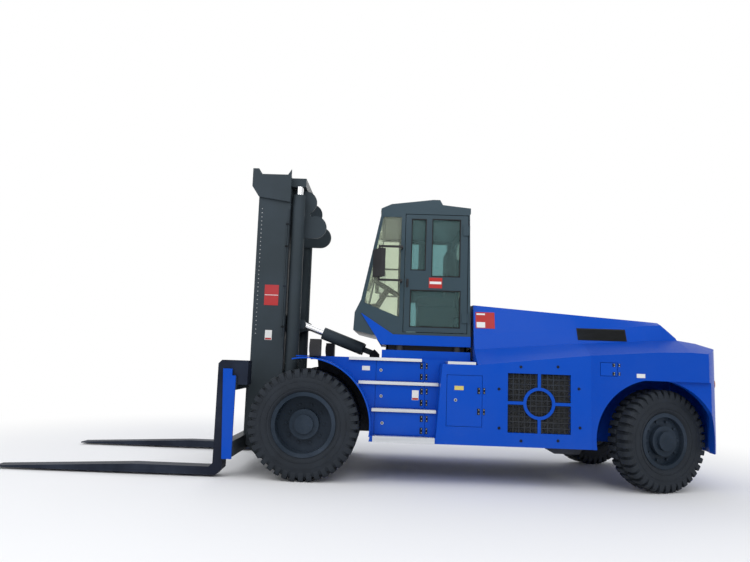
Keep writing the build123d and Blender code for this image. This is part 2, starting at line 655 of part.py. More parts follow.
# A painted plate closes each end of the bars and steps round the top hook of the fork.
END_FRONT_X = BAR_FRONT_X + 45
END_NOTCH_X = BAR_FRONT_X - 60
END_REAR_X = BAR_REAR_X + 8
end_outline = [
    (END_FRONT_X - 40, LOWER_BAR_LOW_Z - 25),
    (END_FRONT_X, UPPER_BAR_HIGH_Z + 80),
    (END_NOTCH_X, UPPER_BAR_HIGH_Z + 80),
    (END_NOTCH_X, UPPER_BAR_HIGH_Z + HOOK_GAP),
    (END_REAR_X, UPPER_BAR_HIGH_Z + HOOK_GAP),
    (END_REAR_X, LOWER_BAR_LOW_Z - 25),
]
end_plate = side_plate(end_outline, BAR_HALF_W, BAR_HALF_W + END_PLATE_T)
with BuildPart() as end_plates:
    add(end_plate)
    add(mirror(end_plate, about=Plane.XZ, mode=Mode.PRIVATE))
save(end_plates.part, "carriage_end_plates")

# A fork: tapered blade, upright shank and a hook over the upper bar.
SHANK_REAR_X = BAR_FRONT_X + HOOK_GAP
FORK_SHANK_X = FORK_HEEL_X
HOOK_LOW_Z = UPPER_BAR_HIGH_Z + FIT
fork_outline = [
    (FORK_TIP_X, FORK_BOTTOM_Z),
    (FORK_TIP_X, FORK_BOTTOM_Z + FORK_TIP_T),
    (FORK_TAPER_X, FORK_BOTTOM_Z + FORK_T),
    (FORK_SHANK_X + 40, FORK_BOTTOM_Z + FORK_T),
    (FORK_SHANK_X, FORK_BOTTOM_Z + FORK_T + 40),
    (FORK_SHANK_X, FORK_TOP_Z - 40),
    (FORK_SHANK_X - 40, FORK_TOP_Z),
    (HOOK_REAR_X, FORK_TOP_Z),
    (HOOK_REAR_X, HOOK_LIP_Z),
    (BAR_REAR_X - HOOK_GAP, HOOK_LIP_Z),
    (BAR_REAR_X - HOOK_GAP, HOOK_LOW_Z),
    (SHANK_REAR_X, HOOK_LOW_Z),
    (SHANK_REAR_X, FORK_BOTTOM_Z + 70),
    (SHANK_REAR_X + 70, FORK_BOTTOM_Z),
]
fork = side_plate(fork_outline, FORK_Y - FORK_W / 2, FORK_Y + FORK_W / 2)
both_sides(fork, "fork")

# Tilt cylinders: a barrel hinged on the deck and a rod whose eye takes the pin on the mast.
tilt_run_x = TILT_EYE_X - TILT_REAR_X
tilt_run_z = TILT_EYE_Z - TILT_REAR_Z
TILT_LENGTH = hypot(tilt_run_x, tilt_run_z)
TILT_ANGLE = degrees(atan2(tilt_run_z, tilt_run_x))
TILT_REAR_PIN_R = 30
TILT_ROD_START = 430
# Each is drawn level from its rear pin along +X, then turned up to the mast.
rear_pin = Axis((TILT_REAR_X, 0, TILT_REAR_Z), (0, -1, 0))
tilt_side = Plane.YZ.offset(TILT_REAR_X + TILT_BARREL_START)
with BuildPart() as tilt_barrel:
    with BuildSketch(tilt_side):
        with Locations((TILT_Y, TILT_REAR_Z)):
            Circle(TILT_BARREL_R)
    extrude(amount=TILT_BARREL_END - TILT_BARREL_START)
    add(block(
        TILT_REAR_X, TILT_REAR_X + TILT_BARREL_START, TILT_Y - TILT_EYE_W / 2, TILT_Y + TILT_EYE_W / 2,
        TILT_REAR_Z - TILT_EYE_R * 0.6, TILT_REAR_Z + TILT_EYE_R * 0.6,
    ))
    add(rod_y(TILT_REAR_X, TILT_REAR_Z, TILT_EYE_R * 0.75, TILT_Y - TILT_EYE_W / 2, TILT_Y + TILT_EYE_W / 2))
    add(rod_y(TILT_REAR_X, TILT_REAR_Z, TILT_REAR_PIN_R * 0.6 + FIT, 0, MAST_HALF_W), mode=Mode.SUBTRACT)
    with BuildSketch(Plane.YZ.offset(TILT_REAR_X + TILT_BARREL_END)):
        with Locations((TILT_Y, TILT_REAR_Z)):
            Circle(TILT_ROD_R + FIT)
    extrude(amount=-(TILT_BARREL_END - TILT_BARREL_START - 12), mode=Mode.SUBTRACT)
both_sides(tilt_barrel.part.rotate(rear_pin, TILT_ANGLE), "tilt_barrel")

with BuildPart() as tilt_rod:
    with BuildSketch(Plane.YZ.offset(TILT_REAR_X + TILT_ROD_START)):
        with Locations((TILT_Y, TILT_REAR_Z)):
            Circle(TILT_ROD_R)
    extrude(amount=TILT_LENGTH - TILT_ROD_START - TILT_EYE_R / 2)
    add(rod_y(
        TILT_REAR_X + TILT_LENGTH, TILT_REAR_Z, TILT_EYE_R - 6, TILT_Y - TILT_EYE_W / 2, TILT_Y + TILT_EYE_W / 2,
    ))
    add(rod_y(TILT_REAR_X + TILT_LENGTH, TILT_REAR_Z, TILT_PIN_R + TILT_EYE_CLEAR, 0, MAST_HALF_W), mode=Mode.SUBTRACT)
both_sides(tilt_rod.part.rotate(rear_pin, TILT_ANGLE), "tilt_rod")

# The frame: two side rails between the twin wheels, with the ears that carry the mast's pins.
RAIL_LOW_Z = 500
RAIL_FRONT_X = FRONT_AXLE_X - 60
RAIL_IN_Y = FRAME_HALF_W - RAIL_W
DECK_FRONT_X = FRONT_AXLE_X - 150
MAST_EAR_R = 120
MAST_EAR_Y = MAST_HALF_W + AXLE_EYE_GAP
CROSS_T = 60
# Cross members of the frame: rear x, low z, high z
CROSS_TABLE = [
    (FRONT_AXLE_X - 560, RAIL_LOW_Z, DECK_Z - DECK_T),
    (FRONT_AXLE_X - 1900, RAIL_LOW_Z, DECK_Z - DECK_T),
    (BODY_SPLIT_X, RAIL_LOW_Z, DECK_Z - DECK_T),
]
ear_outline = [
    (FRONT_AXLE_X - 420, RAIL_LOW_Z),
    (MAST_PIVOT_X - 60, MAST_PIVOT_Z - MAST_EAR_R + 20),
    (MAST_PIVOT_X, MAST_PIVOT_Z + MAST_EAR_R),
    (FRONT_AXLE_X - 100, FRONT_TYRE_R + 260),
    (FRONT_AXLE_X - 420, FRONT_TYRE_R + 260),
]
rail_outline = [
    (BODY_SPLIT_X, RAIL_LOW_Z),
    (FRONT_AXLE_X - 260, RAIL_LOW_Z),
    (RAIL_FRONT_X - 60, FRONT_TYRE_R + 190),
    (RAIL_FRONT_X, DECK_Z - DECK_T),
    (BODY_SPLIT_X, DECK_Z - DECK_T),
]
with BuildPart() as frame_half:
    add(side_plate(rail_outline, RAIL_IN_Y, FRAME_HALF_W))
    add(side_plate(ear_outline, MAST_EAR_Y, FRAME_HALF_W))
    add(rod_y(MAST_PIVOT_X, MAST_PIVOT_Z, MAST_EAR_R, MAST_EAR_Y, FRAME_HALF_W))
    add(rod_y(FRONT_AXLE_X, FRONT_TYRE_R, FRONT_TUBE_R + 60, MAST_EAR_Y, FRAME_HALF_W))
    add(rod_y(FRONT_AXLE_X, FRONT_TYRE_R, FRONT_TUBE_R + FIT, 0, FRAME_HALF_W), mode=Mode.SUBTRACT)
    add(rod_y(MAST_PIVOT_X, MAST_PIVOT_Z, MAST_PIN_R, FLANGE_Y - 20, FRAME_HALF_W))
    for cross_x, cross_low, cross_high in CROSS_TABLE:
        add(block(cross_x, cross_x + CROSS_T, 0, RAIL_IN_Y + 10, cross_low, cross_high))
    # Each tilt cylinder pivots between two cheeks that stand on the deck beam.
    for cheek_y in lug_pair:
        cheek = [
            (TILT_REAR_X - TILT_EYE_R, DECK_Z - DECK_T - CROSS_T),
            (TILT_REAR_X + TILT_EYE_R, DECK_Z - DECK_T - CROSS_T),
            (TILT_REAR_X + TILT_EYE_R, TILT_REAR_Z),
            (TILT_REAR_X, TILT_REAR_Z + TILT_EYE_R),
            (TILT_REAR_X - TILT_EYE_R, TILT_REAR_Z),
        ]
        add(side_plate(cheek, cheek_y, cheek_y + TILT_LUG_T))
    add(rod_y(
        TILT_REAR_X, TILT_REAR_Z, TILT_REAR_PIN_R * 0.6, lug_pair[0], lug_pair[1] + TILT_LUG_T,
    ))
    add(block(
        TILT_REAR_X - TILT_EYE_R, FRONT_AXLE_X - 500, TILT_Y - 2 * TILT_EYE_W, RAIL_IN_Y + 10,
        DECK_Z - DECK_T - 2 * CROSS_T, DECK_Z - DECK_T - CROSS_T,
    ))
with BuildPart() as main_frame:
    add(frame_half.part)
    add(mirror(frame_half.part, about=Plane.XZ, mode=Mode.PRIVATE))
save(main_frame.part, "main_frame")

# The deck: a thick plate under the cab, slotted for the tilt cylinders.
DECK_HALF_W = STEP_TABLE[-1][0]
SLOT_HALF_W = TILT_BARREL_R + 45
SLOT_FRONT_X = DECK_FRONT_X
SLOT_REAR_X = TILT_REAR_X - TILT_EYE_R - 20
with BuildPart() as deck:
    add(block(CAB_REAR_X, DECK_FRONT_X, -FRAME_HALF_W, FRAME_HALF_W, DECK_Z - DECK_T, DECK_Z))
    for side in (-1, 1):
        mid_y = side * TILT_Y
        add(block(
            SLOT_REAR_X, SLOT_FRONT_X - CROSS_T, mid_y - SLOT_HALF_W, mid_y + SLOT_HALF_W,
            DECK_Z - DECK_T, DECK_Z,
        ), mode=Mode.SUBTRACT)
save(deck.part, "deck")

# The stair box: tiers that step inwards, cut by the wheel arch, with a locker behind each riser.
FRONT_ARCH_R = FRONT_TYRE_R + ARCH_GAP
FENDER_OUT_R = FRONT_ARCH_R + FENDER_T
STAIR_IN_Y = FRAME_HALF_W + FIT
tier_profile = [(STAIR_IN_Y, SKIRT_Z)]
for tier_y, tier_z in STEP_TABLE:
    tier_low = tier_profile[-1][1]
    tier_profile.append((tier_y, tier_low))
    tier_profile.append((tier_y, tier_z))
tier_profile.append((STAIR_IN_Y, DECK_Z))

tier_doors = []
lockers = []
for (tier_y, tread_z), (riser_y, top_z) in zip(STEP_TABLE[:-1], STEP_TABLE[1:]):
    low = tread_z + TREAD_PLATE_T + DOOR_GAP
    high = top_z - TREAD_T - DOOR_GAP
    lockers.append(block(
        TIER_HINGE_X - FIT, TIER_DOOR_FRONT_X + DOOR_GAP, riser_y - DOOR_T - DOOR_GAP, riser_y,
        low - DOOR_GAP + 1, high + DOOR_GAP,
    ))
    lockers.append(block(
        TIER_HINGE_X + 30, TIER_DOOR_FRONT_X - 30, riser_y - LOCKER_DEPTH, riser_y, low + 30, high - 30,
    ))
    with BuildPart() as tier_door:
        add(block(
            TIER_HINGE_X + HINGE_R, TIER_DOOR_FRONT_X, riser_y - DOOR_T, riser_y, low, high,
        ))
        with BuildSketch(Plane.XY.offset(low)):
            with Locations((TIER_HINGE_X + HINGE_R, riser_y - HINGE_R)):
                Circle(HINGE_R)
        extrude(amount=high - low)
    tier_doors.append(tier_door.part)

arch_cylinder = rod_y(FRONT_AXLE_X, FRONT_TYRE_R, FENDER_OUT_R - 1, 0, BODY_HALF_W + 10)
lean = [
    (STAIR_REAR_X, SKIRT_Z - 1),
    (STAIR_REAR_X - CHEEK_LEAN, DECK_Z + 10),
    (STAIR_REAR_X - 2 * CHEEK_LEAN, DECK_Z + 10),
    (STAIR_REAR_X - 2 * CHEEK_LEAN, SKIRT_Z - 1),
]
with BuildPart() as stair_box:
    with BuildSketch(Plane.YZ.offset(STAIR_REAR_X - CHEEK_LEAN)):
        with BuildLine():
            Polyline(*tier_profile, close=True)
        make_face()
    extrude(amount=FENDER_FRONT_X - STAIR_REAR_X + CHEEK_LEAN)
    add(arch_cylinder, mode=Mode.SUBTRACT)
    add(side_plate(lean, 0, BODY_HALF_W + 10), mode=Mode.SUBTRACT)
    add(block(
        FRONT_AXLE_X - 10, FENDER_FRONT_X + 10, 0, BODY_HALF_W + 10, SKIRT_Z - 10, DECK_Z - FENDER_T,
    ), mode=Mode.SUBTRACT)
    for locker in lockers:
        add(locker, mode=Mode.SUBTRACT)
for number, door in enumerate(tier_doors, start=1):
    both_sides(door, f"tier_door_{number}")

# The front fender is a rolled band over the twin wheels.
with BuildPart() as fender:
    add(rod_y(FRONT_AXLE_X, FRONT_TYRE_R, FENDER_OUT_R, STAIR_IN_Y, BODY_HALF_W))
    add(rod_y(FRONT_AXLE_X, FRONT_TYRE_R, FRONT_ARCH_R, STAIR_IN_Y, BODY_HALF_W), mode=Mode.SUBTRACT)
    add(block(
        FRONT_AXLE_X - FENDER_OUT_R - 1, FRONT_AXLE_X + FENDER_OUT_R + 1, 0, BODY_HALF_W + 1,
        -FENDER_OUT_R, SKIRT_Z + 50,
    ), mode=Mode.SUBTRACT)
    add(block(
        FENDER_FRONT_X, FRONT_AXLE_X + FENDER_OUT_R + 1, 0, BODY_HALF_W + 1,
        SKIRT_Z, DECK_Z + FENDER_T,
    ), mode=Mode.SUBTRACT)
with BuildPart() as stairs:
    add(stair_box.part)
    add(fender.part)
save_pair(stairs.part, "stair_boxes")

# Silver treads with a rolled nose lie on each tier.
with BuildPart() as tread_half:
    for (tier_y, tier_z), rear_x in zip(STEP_TABLE, TREAD_REAR_TABLE):
        arch_run = sqrt(max(FENDER_OUT_R ** 2 - (tier_z - FRONT_TYRE_R) ** 2, 0))
        front_x = FRONT_AXLE_X - max(arch_run, 430) - 30
        nose_drop = BOTTOM_TREAD_T if tier_y == BODY_HALF_W else TREAD_T
        add(block(rear_x, front_x, tier_y, tier_y + TREAD_NOSE, tier_z - nose_drop, tier_z))
        add(block(
            rear_x, front_x, tier_y - TREAD_PLATE_W, tier_y + TREAD_NOSE, tier_z, tier_z + TREAD_PLATE_T,
        ))
    add(block(
        FRONT_AXLE_X - 1905 + 20, WALK_STRIP_FRONT_X, DECK_HALF_W + 20, BODY_HALF_W - 5,
        WALL_FRONT_Z, WALL_FRONT_Z + TREAD_T,
    ))
save_pair(tread_half.part, "step_treads")


def prism_loft(rows):
    # Straight-ruled body through outlines that stand across the truck: (x, [(y, z), ...]).
    with BuildPart() as body:
        for x, outline in rows:
            with BuildSketch(Plane.YZ.offset(x)):
                with BuildLine():
                    Polyline(*outline, close=True)
                make_face()
        loft(ruled=True)
    return body.part


def side_frame(points, inset, y_low, y_high):
    # The same side outline moved inwards by the wall's thickness.
    with BuildPart() as core:
        with BuildSketch(Plane.XZ.offset(-y_high)):
            with BuildLine():
                Polyline(*points, close=True)
            make_face()
            offset(amount=-inset, kind=Kind.INTERSECTION, mode=Mode.REPLACE)
        extrude(amount=y_high - y_low)
    return core.part


# Shoulder of the body: x, crease z at the side, half width and z of the hood's seat
SHOULDER_TABLE = [
    (FRONT_AXLE_X - 1905, WALL_FRONT_Z, HOOD_BASE_Y, BASE_FRONT_Z),
    (BODY_SPLIT_X, 1475, HOOD_BASE_Y, 1615),
    (BODY_SHOULDER_X, WALL_REAR_Z, HOOD_BASE_Y - 20, 1668),
    (FRONT_AXLE_X - 4080, WALL_REAR_Z + 5, HOOD_BASE_Y - 45, 1679),
    (FRONT_AXLE_X - 4255, WALL_REAR_Z + 10, HOOD_BASE_Y - 70, BASE_REAR_Z),
    (REAR_X, WALL_REAR_Z - 15, HOOD_BASE_Y - 150, BASE_REAR_Z - 60),
]
WALK_REAR_X = SHOULDER_TABLE[0][0]


def shoulder_outline(row, y_in):
    x, crease_z, seat_y, seat_z = row
    return (x, [(y_in, SKIRT_Z), (BODY_HALF_W, SKIRT_Z), (BODY_HALF_W, crease_z), (seat_y, seat_z), (y_in, seat_z)])


door_front, door_rear, door_low, door_high, door_depth = SERVICE_DOOR
grille_mid_x = (GRILLE_FRONT_X + GRILLE_REAR_X) / 2
grille_mid_z = (GRILLE_LOW_Z + GRILLE_HIGH_Z) / 2
body_loft = prism_loft([shoulder_outline(row, STAIR_IN_Y) for row in SHOULDER_TABLE[:2]])
with BuildPart() as body_side:
    add(body_loft)
    add(block(WALK_REAR_X, BODY_FRONT_X - FIT, STAIR_IN_Y, BODY_HALF_W, SKIRT_Z, WALL_FRONT_Z))
    add(block(WALK_REAR_X, BODY_FRONT_X - FIT, STAIR_IN_Y, DECK_HALF_W, WALL_FRONT_Z, DECK_Z))
    cheek_cut = [
        (BODY_FRONT_X + 1, SKIRT_Z - 1),
        (BODY_FRONT_X - FIT, SKIRT_Z - 1),
        (BODY_FRONT_X - CHEEK_LEAN - FIT, DECK_Z + 10),
        (BODY_FRONT_X + 1, DECK_Z + 10),
    ]
    add(side_plate(cheek_cut, 0, BODY_HALF_W + 10), mode=Mode.SUBTRACT)
    add(block(
        door_rear - FIT, door_front + DOOR_GAP, BODY_HALF_W - DOOR_T - DOOR_GAP, BODY_HALF_W + 1,
        door_low - DOOR_GAP, door_high + DOOR_GAP,
    ), mode=Mode.SUBTRACT)
    add(block(
        door_rear + 40, door_front - 40, BODY_HALF_W - door_depth, BODY_HALF_W, door_low + 40, door_high - 40,
    ), mode=Mode.SUBTRACT)
    add(block(
        GRILLE_REAR_X, GRILLE_FRONT_X, BODY_HALF_W - GRILLE_DEPTH, BODY_HALF_W + 1, GRILLE_LOW_Z, GRILLE_HIGH_Z,
    ), mode=Mode.SUBTRACT)
# Grille: a blue ring and cross in front of dark wire mesh.
slat_pitch_x = (GRILLE_FRONT_X - GRILLE_REAR_X) / GRILLE_SLATS
slat_pitch_z = (GRILLE_HIGH_Z - GRILLE_LOW_Z) / GRILLE_SLATS
grille_y = BODY_HALF_W - GRILLE_T
with BuildPart() as grille:
    with BuildSketch(Plane.XZ.offset(-BODY_HALF_W)):
        with Locations((grille_mid_x, grille_mid_z)):
            Rectangle(GRILLE_FRONT_X - GRILLE_REAR_X, GRILLE_BAR)
            Rectangle(GRILLE_BAR, GRILLE_HIGH_Z - GRILLE_LOW_Z)
            Circle(GRILLE_RING_R)
            Circle(GRILLE_RING_R - GRILLE_BAR, mode=Mode.SUBTRACT)
    extrude(amount=GRILLE_T)
with BuildPart() as mesh:
    with BuildSketch(Plane.XZ.offset(-grille_y)):
        with Locations((grille_mid_x, grille_mid_z)):
            with GridLocations(slat_pitch_x, 1, GRILLE_SLATS - 1, 1):
                Rectangle(GRILLE_SLAT_W, GRILLE_HIGH_Z - GRILLE_LOW_Z)
            with GridLocations(1, slat_pitch_z, 1, GRILLE_SLATS - 1):
                Rectangle(GRILLE_FRONT_X - GRILLE_REAR_X, GRILLE_SLAT_W)
    extrude(amount=GRILLE_SLAT_W)
with BuildPart() as grilled_side:
    add(body_side.part)
    add(grille.part)
save_pair(grilled_side.part, "body_sides")
save_pair(mesh.part, "grille_mesh")


def flush_door(front_x, rear_x, low, high):
    # A door that lies flush in the side wall, with its hinge barrel along the rear edge.
    with BuildPart() as door:
        add(block(rear_x + HINGE_R, front_x, BODY_HALF_W - DOOR_T, BODY_HALF_W, low, high))
        with BuildSketch(Plane.XY.offset(low)):
            with Locations((rear_x + HINGE_R, BODY_HALF_W - HINGE_R)):
                Circle(HINGE_R)
        extrude(amount=high - low)
    return door.part


both_sides(flush_door(door_front, door_rear, door_low, door_high), "service_door")

# The counterweight: one casting with the rear arches, the steering wells and the towing jaw.
WELL_R = 705
WELL_IN_Y = 300
WELL_SIDE_REACH = 350
BEAM_SEAT_Z = REAR_TYRE_R + KNUCKLE_HALF_H + AXLE_EYE_GAP + AXLE_EYE_H + FIT
BEAM_GAP = 25
CORNER_X = FRONT_AXLE_X - 4440
rear_profile = [
    (BODY_SPLIT_X - FIT, SKIRT_Z),
    (BODY_SPLIT_X - FIT, BASE_REAR_Z + 50),
    (FRONT_AXLE_X - 4400, BASE_REAR_Z + 50),
    (FRONT_AXLE_X - 4430, BASE_REAR_Z - 5),
    (FRONT_AXLE_X - 4625, BASE_REAR_Z - 90),
    (REAR_X, 1380),
    (REAR_X, 980),
    (REAR_X + 45, 720),
    (CW_BOTTOM_REAR_X - 90, CW_LOW_Z),
    (REAR_AXLE_X, CW_LOW_Z),
]
half_rows = [shoulder_outline(row, 0) for row in SHOULDER_TABLE[1:]]
half_rows = [(x, [(y, z if z > SKIRT_Z else CW_LOW_Z) for y, z in outline]) for x, outline in half_rows]
casting_loft = prism_loft(half_rows)
casting_side = side_plate(rear_profile, 0, BODY_HALF_W)
with BuildPart() as casting_plan:
    with BuildSketch(Plane.XY.offset(0)):
        with BuildLine():
            Line((BODY_SPLIT_X - FIT, 0), (BODY_SPLIT_X - FIT, BODY_HALF_W))
            Line((BODY_SPLIT_X - FIT, BODY_HALF_W), (CORNER_X, BODY_HALF_W))
            ThreePointArc((CORNER_X, BODY_HALF_W), (REAR_X + 40, BODY_HALF_W - 400), (REAR_X, 0))
            Line((REAR_X, 0), (BODY_SPLIT_X - FIT, 0))
        make_face()
    extrude(amount=2000)
CHARGE_FRONT, CHARGE_REAR, CHARGE_LOW, CHARGE_HIGH, CHARGE_DEPTH = CHARGE_FLAP
well_box = block(
    REAR_AXLE_X - WELL_R - 10, REAR_AXLE_X + WELL_R + 10, WELL_IN_Y, KINGPIN_Y + WELL_SIDE_REACH, 0, REAR_ARCH_TOP_Z,
)
with BuildPart() as rear_arch:
    add(rod_y(REAR_AXLE_X, REAR_TYRE_R, REAR_ARCH_R, KINGPIN_Y, BODY_HALF_W + 10))
    add(block(
        REAR_AXLE_X - REAR_ARCH_R - 1, REAR_AXLE_X + REAR_ARCH_R + 1, 0, BODY_HALF_W + 10,
        REAR_ARCH_TOP_Z, REAR_ARCH_TOP_Z + REAR_ARCH_R,
    ), mode=Mode.SUBTRACT)
with BuildPart() as well:
    with BuildSketch(Plane.XY):
        with Locations((REAR_AXLE_X, KINGPIN_Y)):
            Circle(WELL_R)
    extrude(amount=REAR_ARCH_TOP_Z)
    add(well_box, mode=Mode.INTERSECT)
with BuildPart() as casting_half:
    add(casting_loft)
    add(casting_side, mode=Mode.INTERSECT)
    add(casting_plan.part, mode=Mode.INTERSECT)
    add(well.part, mode=Mode.SUBTRACT)
    add(rear_arch.part, mode=Mode.SUBTRACT)
    add(block(
        REAR_X - 10, REAR_AXLE_X, BODY_HALF_W - CW_RECESS, BODY_HALF_W + 10, 0, REAR_ARCH_TOP_Z,
    ), mode=Mode.SUBTRACT)
    add(block(
        REAR_AXLE_X - REAR_BEAM_W / 2 - BEAM_GAP, REAR_AXLE_X + REAR_BEAM_W / 2 + BEAM_GAP,
        -10, WELL_IN_Y + 10, 0, BEAM_SEAT_Z,
    ), mode=Mode.SUBTRACT)
    add(block(
        REAR_X - 10, REAR_X + TOW_MOUTH_DEPTH, -10, TOW_MOUTH_HALF_W, TOW_Z - TOW_MOUTH_H / 2, TOW_Z + TOW_MOUTH_H / 2,
    ), mode=Mode.SUBTRACT)
    with BuildSketch(Plane.XY.offset(TOW_Z - TOW_BORE_REACH)):
        with Locations((REAR_X + TOW_MOUTH_DEPTH / 2, 0)):
            Circle(TOW_PIN_R + FIT)
    extrude(amount=2 * TOW_BORE_REACH, mode=Mode.SUBTRACT)
    with BuildSketch(Plane.XY.offset(TOW_Z + TOW_BORE_REACH)):
        with Locations((REAR_X + TOW_MOUTH_DEPTH / 2, 0)):
            Circle(TOW_SHAFT_R)
    extrude(amount=BASE_REAR_Z - TOW_Z, mode=Mode.SUBTRACT)
# The charging socket is on the left side only.
with BuildPart() as counterweight:
    add(casting_half.part)
    add(mirror(casting_half.part, about=Plane.XZ, mode=Mode.PRIVATE))
    add(block(
        CHARGE_REAR - FIT, CHARGE_FRONT + DOOR_GAP, BODY_HALF_W - DOOR_T - DOOR_GAP, BODY_HALF_W + 1,
        CHARGE_LOW - DOOR_GAP, CHARGE_HIGH + DOOR_GAP,
    ), mode=Mode.SUBTRACT)
    add(block(
        CHARGE_REAR + 20, CHARGE_FRONT - 20, BODY_HALF_W - CHARGE_DEPTH, BODY_HALF_W, CHARGE_LOW + 20, CHARGE_HIGH - 20,
    ), mode=Mode.SUBTRACT)
save(counterweight.part, "counterweight")
save(flush_door(CHARGE_FRONT, CHARGE_REAR, CHARGE_LOW, CHARGE_HIGH), "charging_flap")

# The hood is a folded shell on the body's shoulder seat.
HOOD_WALL = 12
# One row for each of the shoulder's first rows: crease half width and z, top half width and z, ridge z
HOOD_TABLE = [
    (HOOD_BASE_Y - 78, 1680, HOOD_BASE_Y - 170, 2032, 2060),
    (HOOD_BASE_Y - 86, 1784, HOOD_BASE_Y - 180, 1952, 1983),
    (HOOD_BASE_Y - 91, 1847, HOOD_BASE_Y - 187, 1905, 1936),
    (HOOD_BASE_Y - 92, 1862, HOOD_BASE_Y - 188, 1893, 1925),
    (HOOD_BASE_Y - 100, 1715, HOOD_BASE_Y - 210, 1730, 1745),
]


def hood_outline(shoulder, form, wall):
    x, _, seat_y, seat_z = shoulder
    crease_y, crease_z, top_y, top_z, ridge_z = form
    half = [
        (seat_y - wall, seat_z + FIT - wall),
        (crease_y - wall, crease_z - wall / 2),
        (top_y - wall, top_z - wall),
        (0, ridge_z - wall),
    ]
    other = [(-y, z) for y, z in reversed(half[:-1])]
    return (x, half + other)


hood_outer = prism_loft([hood_outline(row, form, 0) for row, form in zip(SHOULDER_TABLE, HOOD_TABLE)])
hood_inner = prism_loft([hood_outline(row, form, HOOD_WALL) for row, form in zip(SHOULDER_TABLE[:4], HOOD_TABLE)])
hood_end = block(
    WALK_REAR_X - HOOD_WALL, WALK_REAR_X, -HOOD_BASE_Y, HOOD_BASE_Y, BASE_FRONT_Z, HOOD_TABLE[0][4],
)
with BuildPart() as hood_core:
    add(hood_inner)
    add(hood_end, mode=Mode.SUBTRACT)
with BuildPart() as hood:
    add(hood_outer)
    add(hood_core.part, mode=Mode.SUBTRACT)
save(hood.part, "hood")

# The traction battery fills the frame under the hood.
BATTERY_GAP = 10
with BuildPart() as battery:
    add(block(
        BODY_SPLIT_X + CROSS_T + BATTERY_GAP, FRONT_AXLE_X - 1910, -RAIL_IN_Y + BATTERY_GAP, RAIL_IN_Y - BATTERY_GAP,
        RAIL_LOW_Z, BASE_FRONT_Z - BATTERY_GAP,
    ))
save(battery.part, "battery_block")

BELLY_HALF_W = 1000
belly_outline = [
    (FRONT_AXLE_X - 2690, SKIRT_Z - FIT),
    (FRONT_AXLE_X - 2810, SKIRT_Z - 88),
    (FRONT_AXLE_X - 3090, SKIRT_Z - 88),
    (BODY_SPLIT_X + 5, SKIRT_Z - FIT),
]
with BuildPart() as belly_pan:
    add(side_plate(belly_outline, -BELLY_HALF_W, BELLY_HALF_W))
    add(block(
        FRONT_AXLE_X - 3090, FRONT_AXLE_X - 2750, -RAIL_IN_Y + BATTERY_GAP, RAIL_IN_Y - BATTERY_GAP,
        SKIRT_Z - 20, RAIL_LOW_Z - FIT,
    ))
save(belly_pan.part, "belly_pan")

# The cab's base and plinth, with rubber mounts between them.
BASE_TOP_Z = 1470
PLINTH_LOW_Z = CAB_FLOOR_Z - 110
CAB_BASE_FRONT_X = FRONT_AXLE_X - 835
PLINTH_FRONT_X = FRONT_AXLE_X - 830
FIN_T = 12
FIN_GAP = FIT
MOUNT_R = 46
MOUNT_MID_X = FRONT_AXLE_X - 1382
MOUNT_SPAN_X = 676
with BuildPart() as cab_base:
    add(block(
        CAB_REAR_X, CAB_BASE_FRONT_X, -CAB_HALF_W, CAB_HALF_W, DECK_Z, BASE_TOP_Z,
    ))
fin_outline = [
    (FRONT_AXLE_X - 575, 1895),
    (PLINTH_FRONT_X + 10, PLINTH_LOW_Z),
    (CAB_REAR_X, PLINTH_LOW_Z),
    (CAB_REAR_X, CAB_FLOOR_Z + 12),
    (FRONT_AXLE_X - 961, CAB_FLOOR_Z + 12),
]
with BuildPart() as plinth:
    add(block(CAB_REAR_X, PLINTH_FRONT_X, -CAB_HALF_W - FIN_GAP, CAB_HALF_W + FIN_GAP, PLINTH_LOW_Z, CAB_FLOOR_Z))
    add(side_plate(fin_outline, CAB_HALF_W + FIN_GAP, CAB_HALF_W + FIN_GAP + FIN_T))
    add(side_plate(fin_outline, -CAB_HALF_W - FIN_GAP - FIN_T, -CAB_HALF_W - FIN_GAP))
save(plinth.part, "cab_plinth")
save(cab_base.part, "cab_base")
with BuildPart() as cab_mounts:
    with BuildSketch(Plane.XY.offset(BASE_TOP_Z + FIT)):
        with Locations((MOUNT_MID_X, 0)):
            with GridLocations(MOUNT_SPAN_X, 2 * (CAB_HALF_W - MOUNT_R - 2), 2, 2):
                Circle(MOUNT_R)
    extrude(amount=PLINTH_LOW_Z - BASE_TOP_Z - 2 * FIT)
save(cab_mounts.part, "cab_mounts")

# The cab shell: one wall thickness all round, windows and door openings cut through.
SCREEN_LOW = (FRONT_AXLE_X - 570, 2050)
SCREEN_HIGH = (FRONT_AXLE_X - 785, CAB_ROOF_Z)
cab_outline = [
    (FRONT_AXLE_X - 715, CAB_FLOOR_Z),
    (CAB_NOSE_X, CAB_FLOOR_Z + 50),
    (CAB_NOSE_X - 10, 1900),
    SCREEN_LOW,
    SCREEN_HIGH,
    (CAB_REAR_X + 30, CAB_ROOF_Z),
    (CAB_REAR_X, CAB_FLOOR_Z),
]


def on_screen(share, shift):
    # A point of the slanted windscreen, shifted along X.
    x = SCREEN_LOW[0] + share * (SCREEN_HIGH[0] - SCREEN_LOW[0])
    z = SCREEN_LOW[1] + share * (SCREEN_HIGH[1] - SCREEN_LOW[1])
    return (x + shift, z)


SCREEN_SHARES = (0.03, 0.93)
SCREEN_HALF_W = CAB_HALF_W - 35
REAR_WINDOW = (2180, 2960)
REAR_WINDOW_HALF_W = 620
quarter_outline = [
    (FRONT_AXLE_X - 610, 2018),
    (FRONT_AXLE_X - 1025, 1858),
    (FRONT_AXLE_X - 1025, 3060),
    (FRONT_AXLE_X - 808, 3060),
]
DOOR_SWING_GAP = 8
WALL_IN_Y = CAB_HALF_W - CAB_WALL


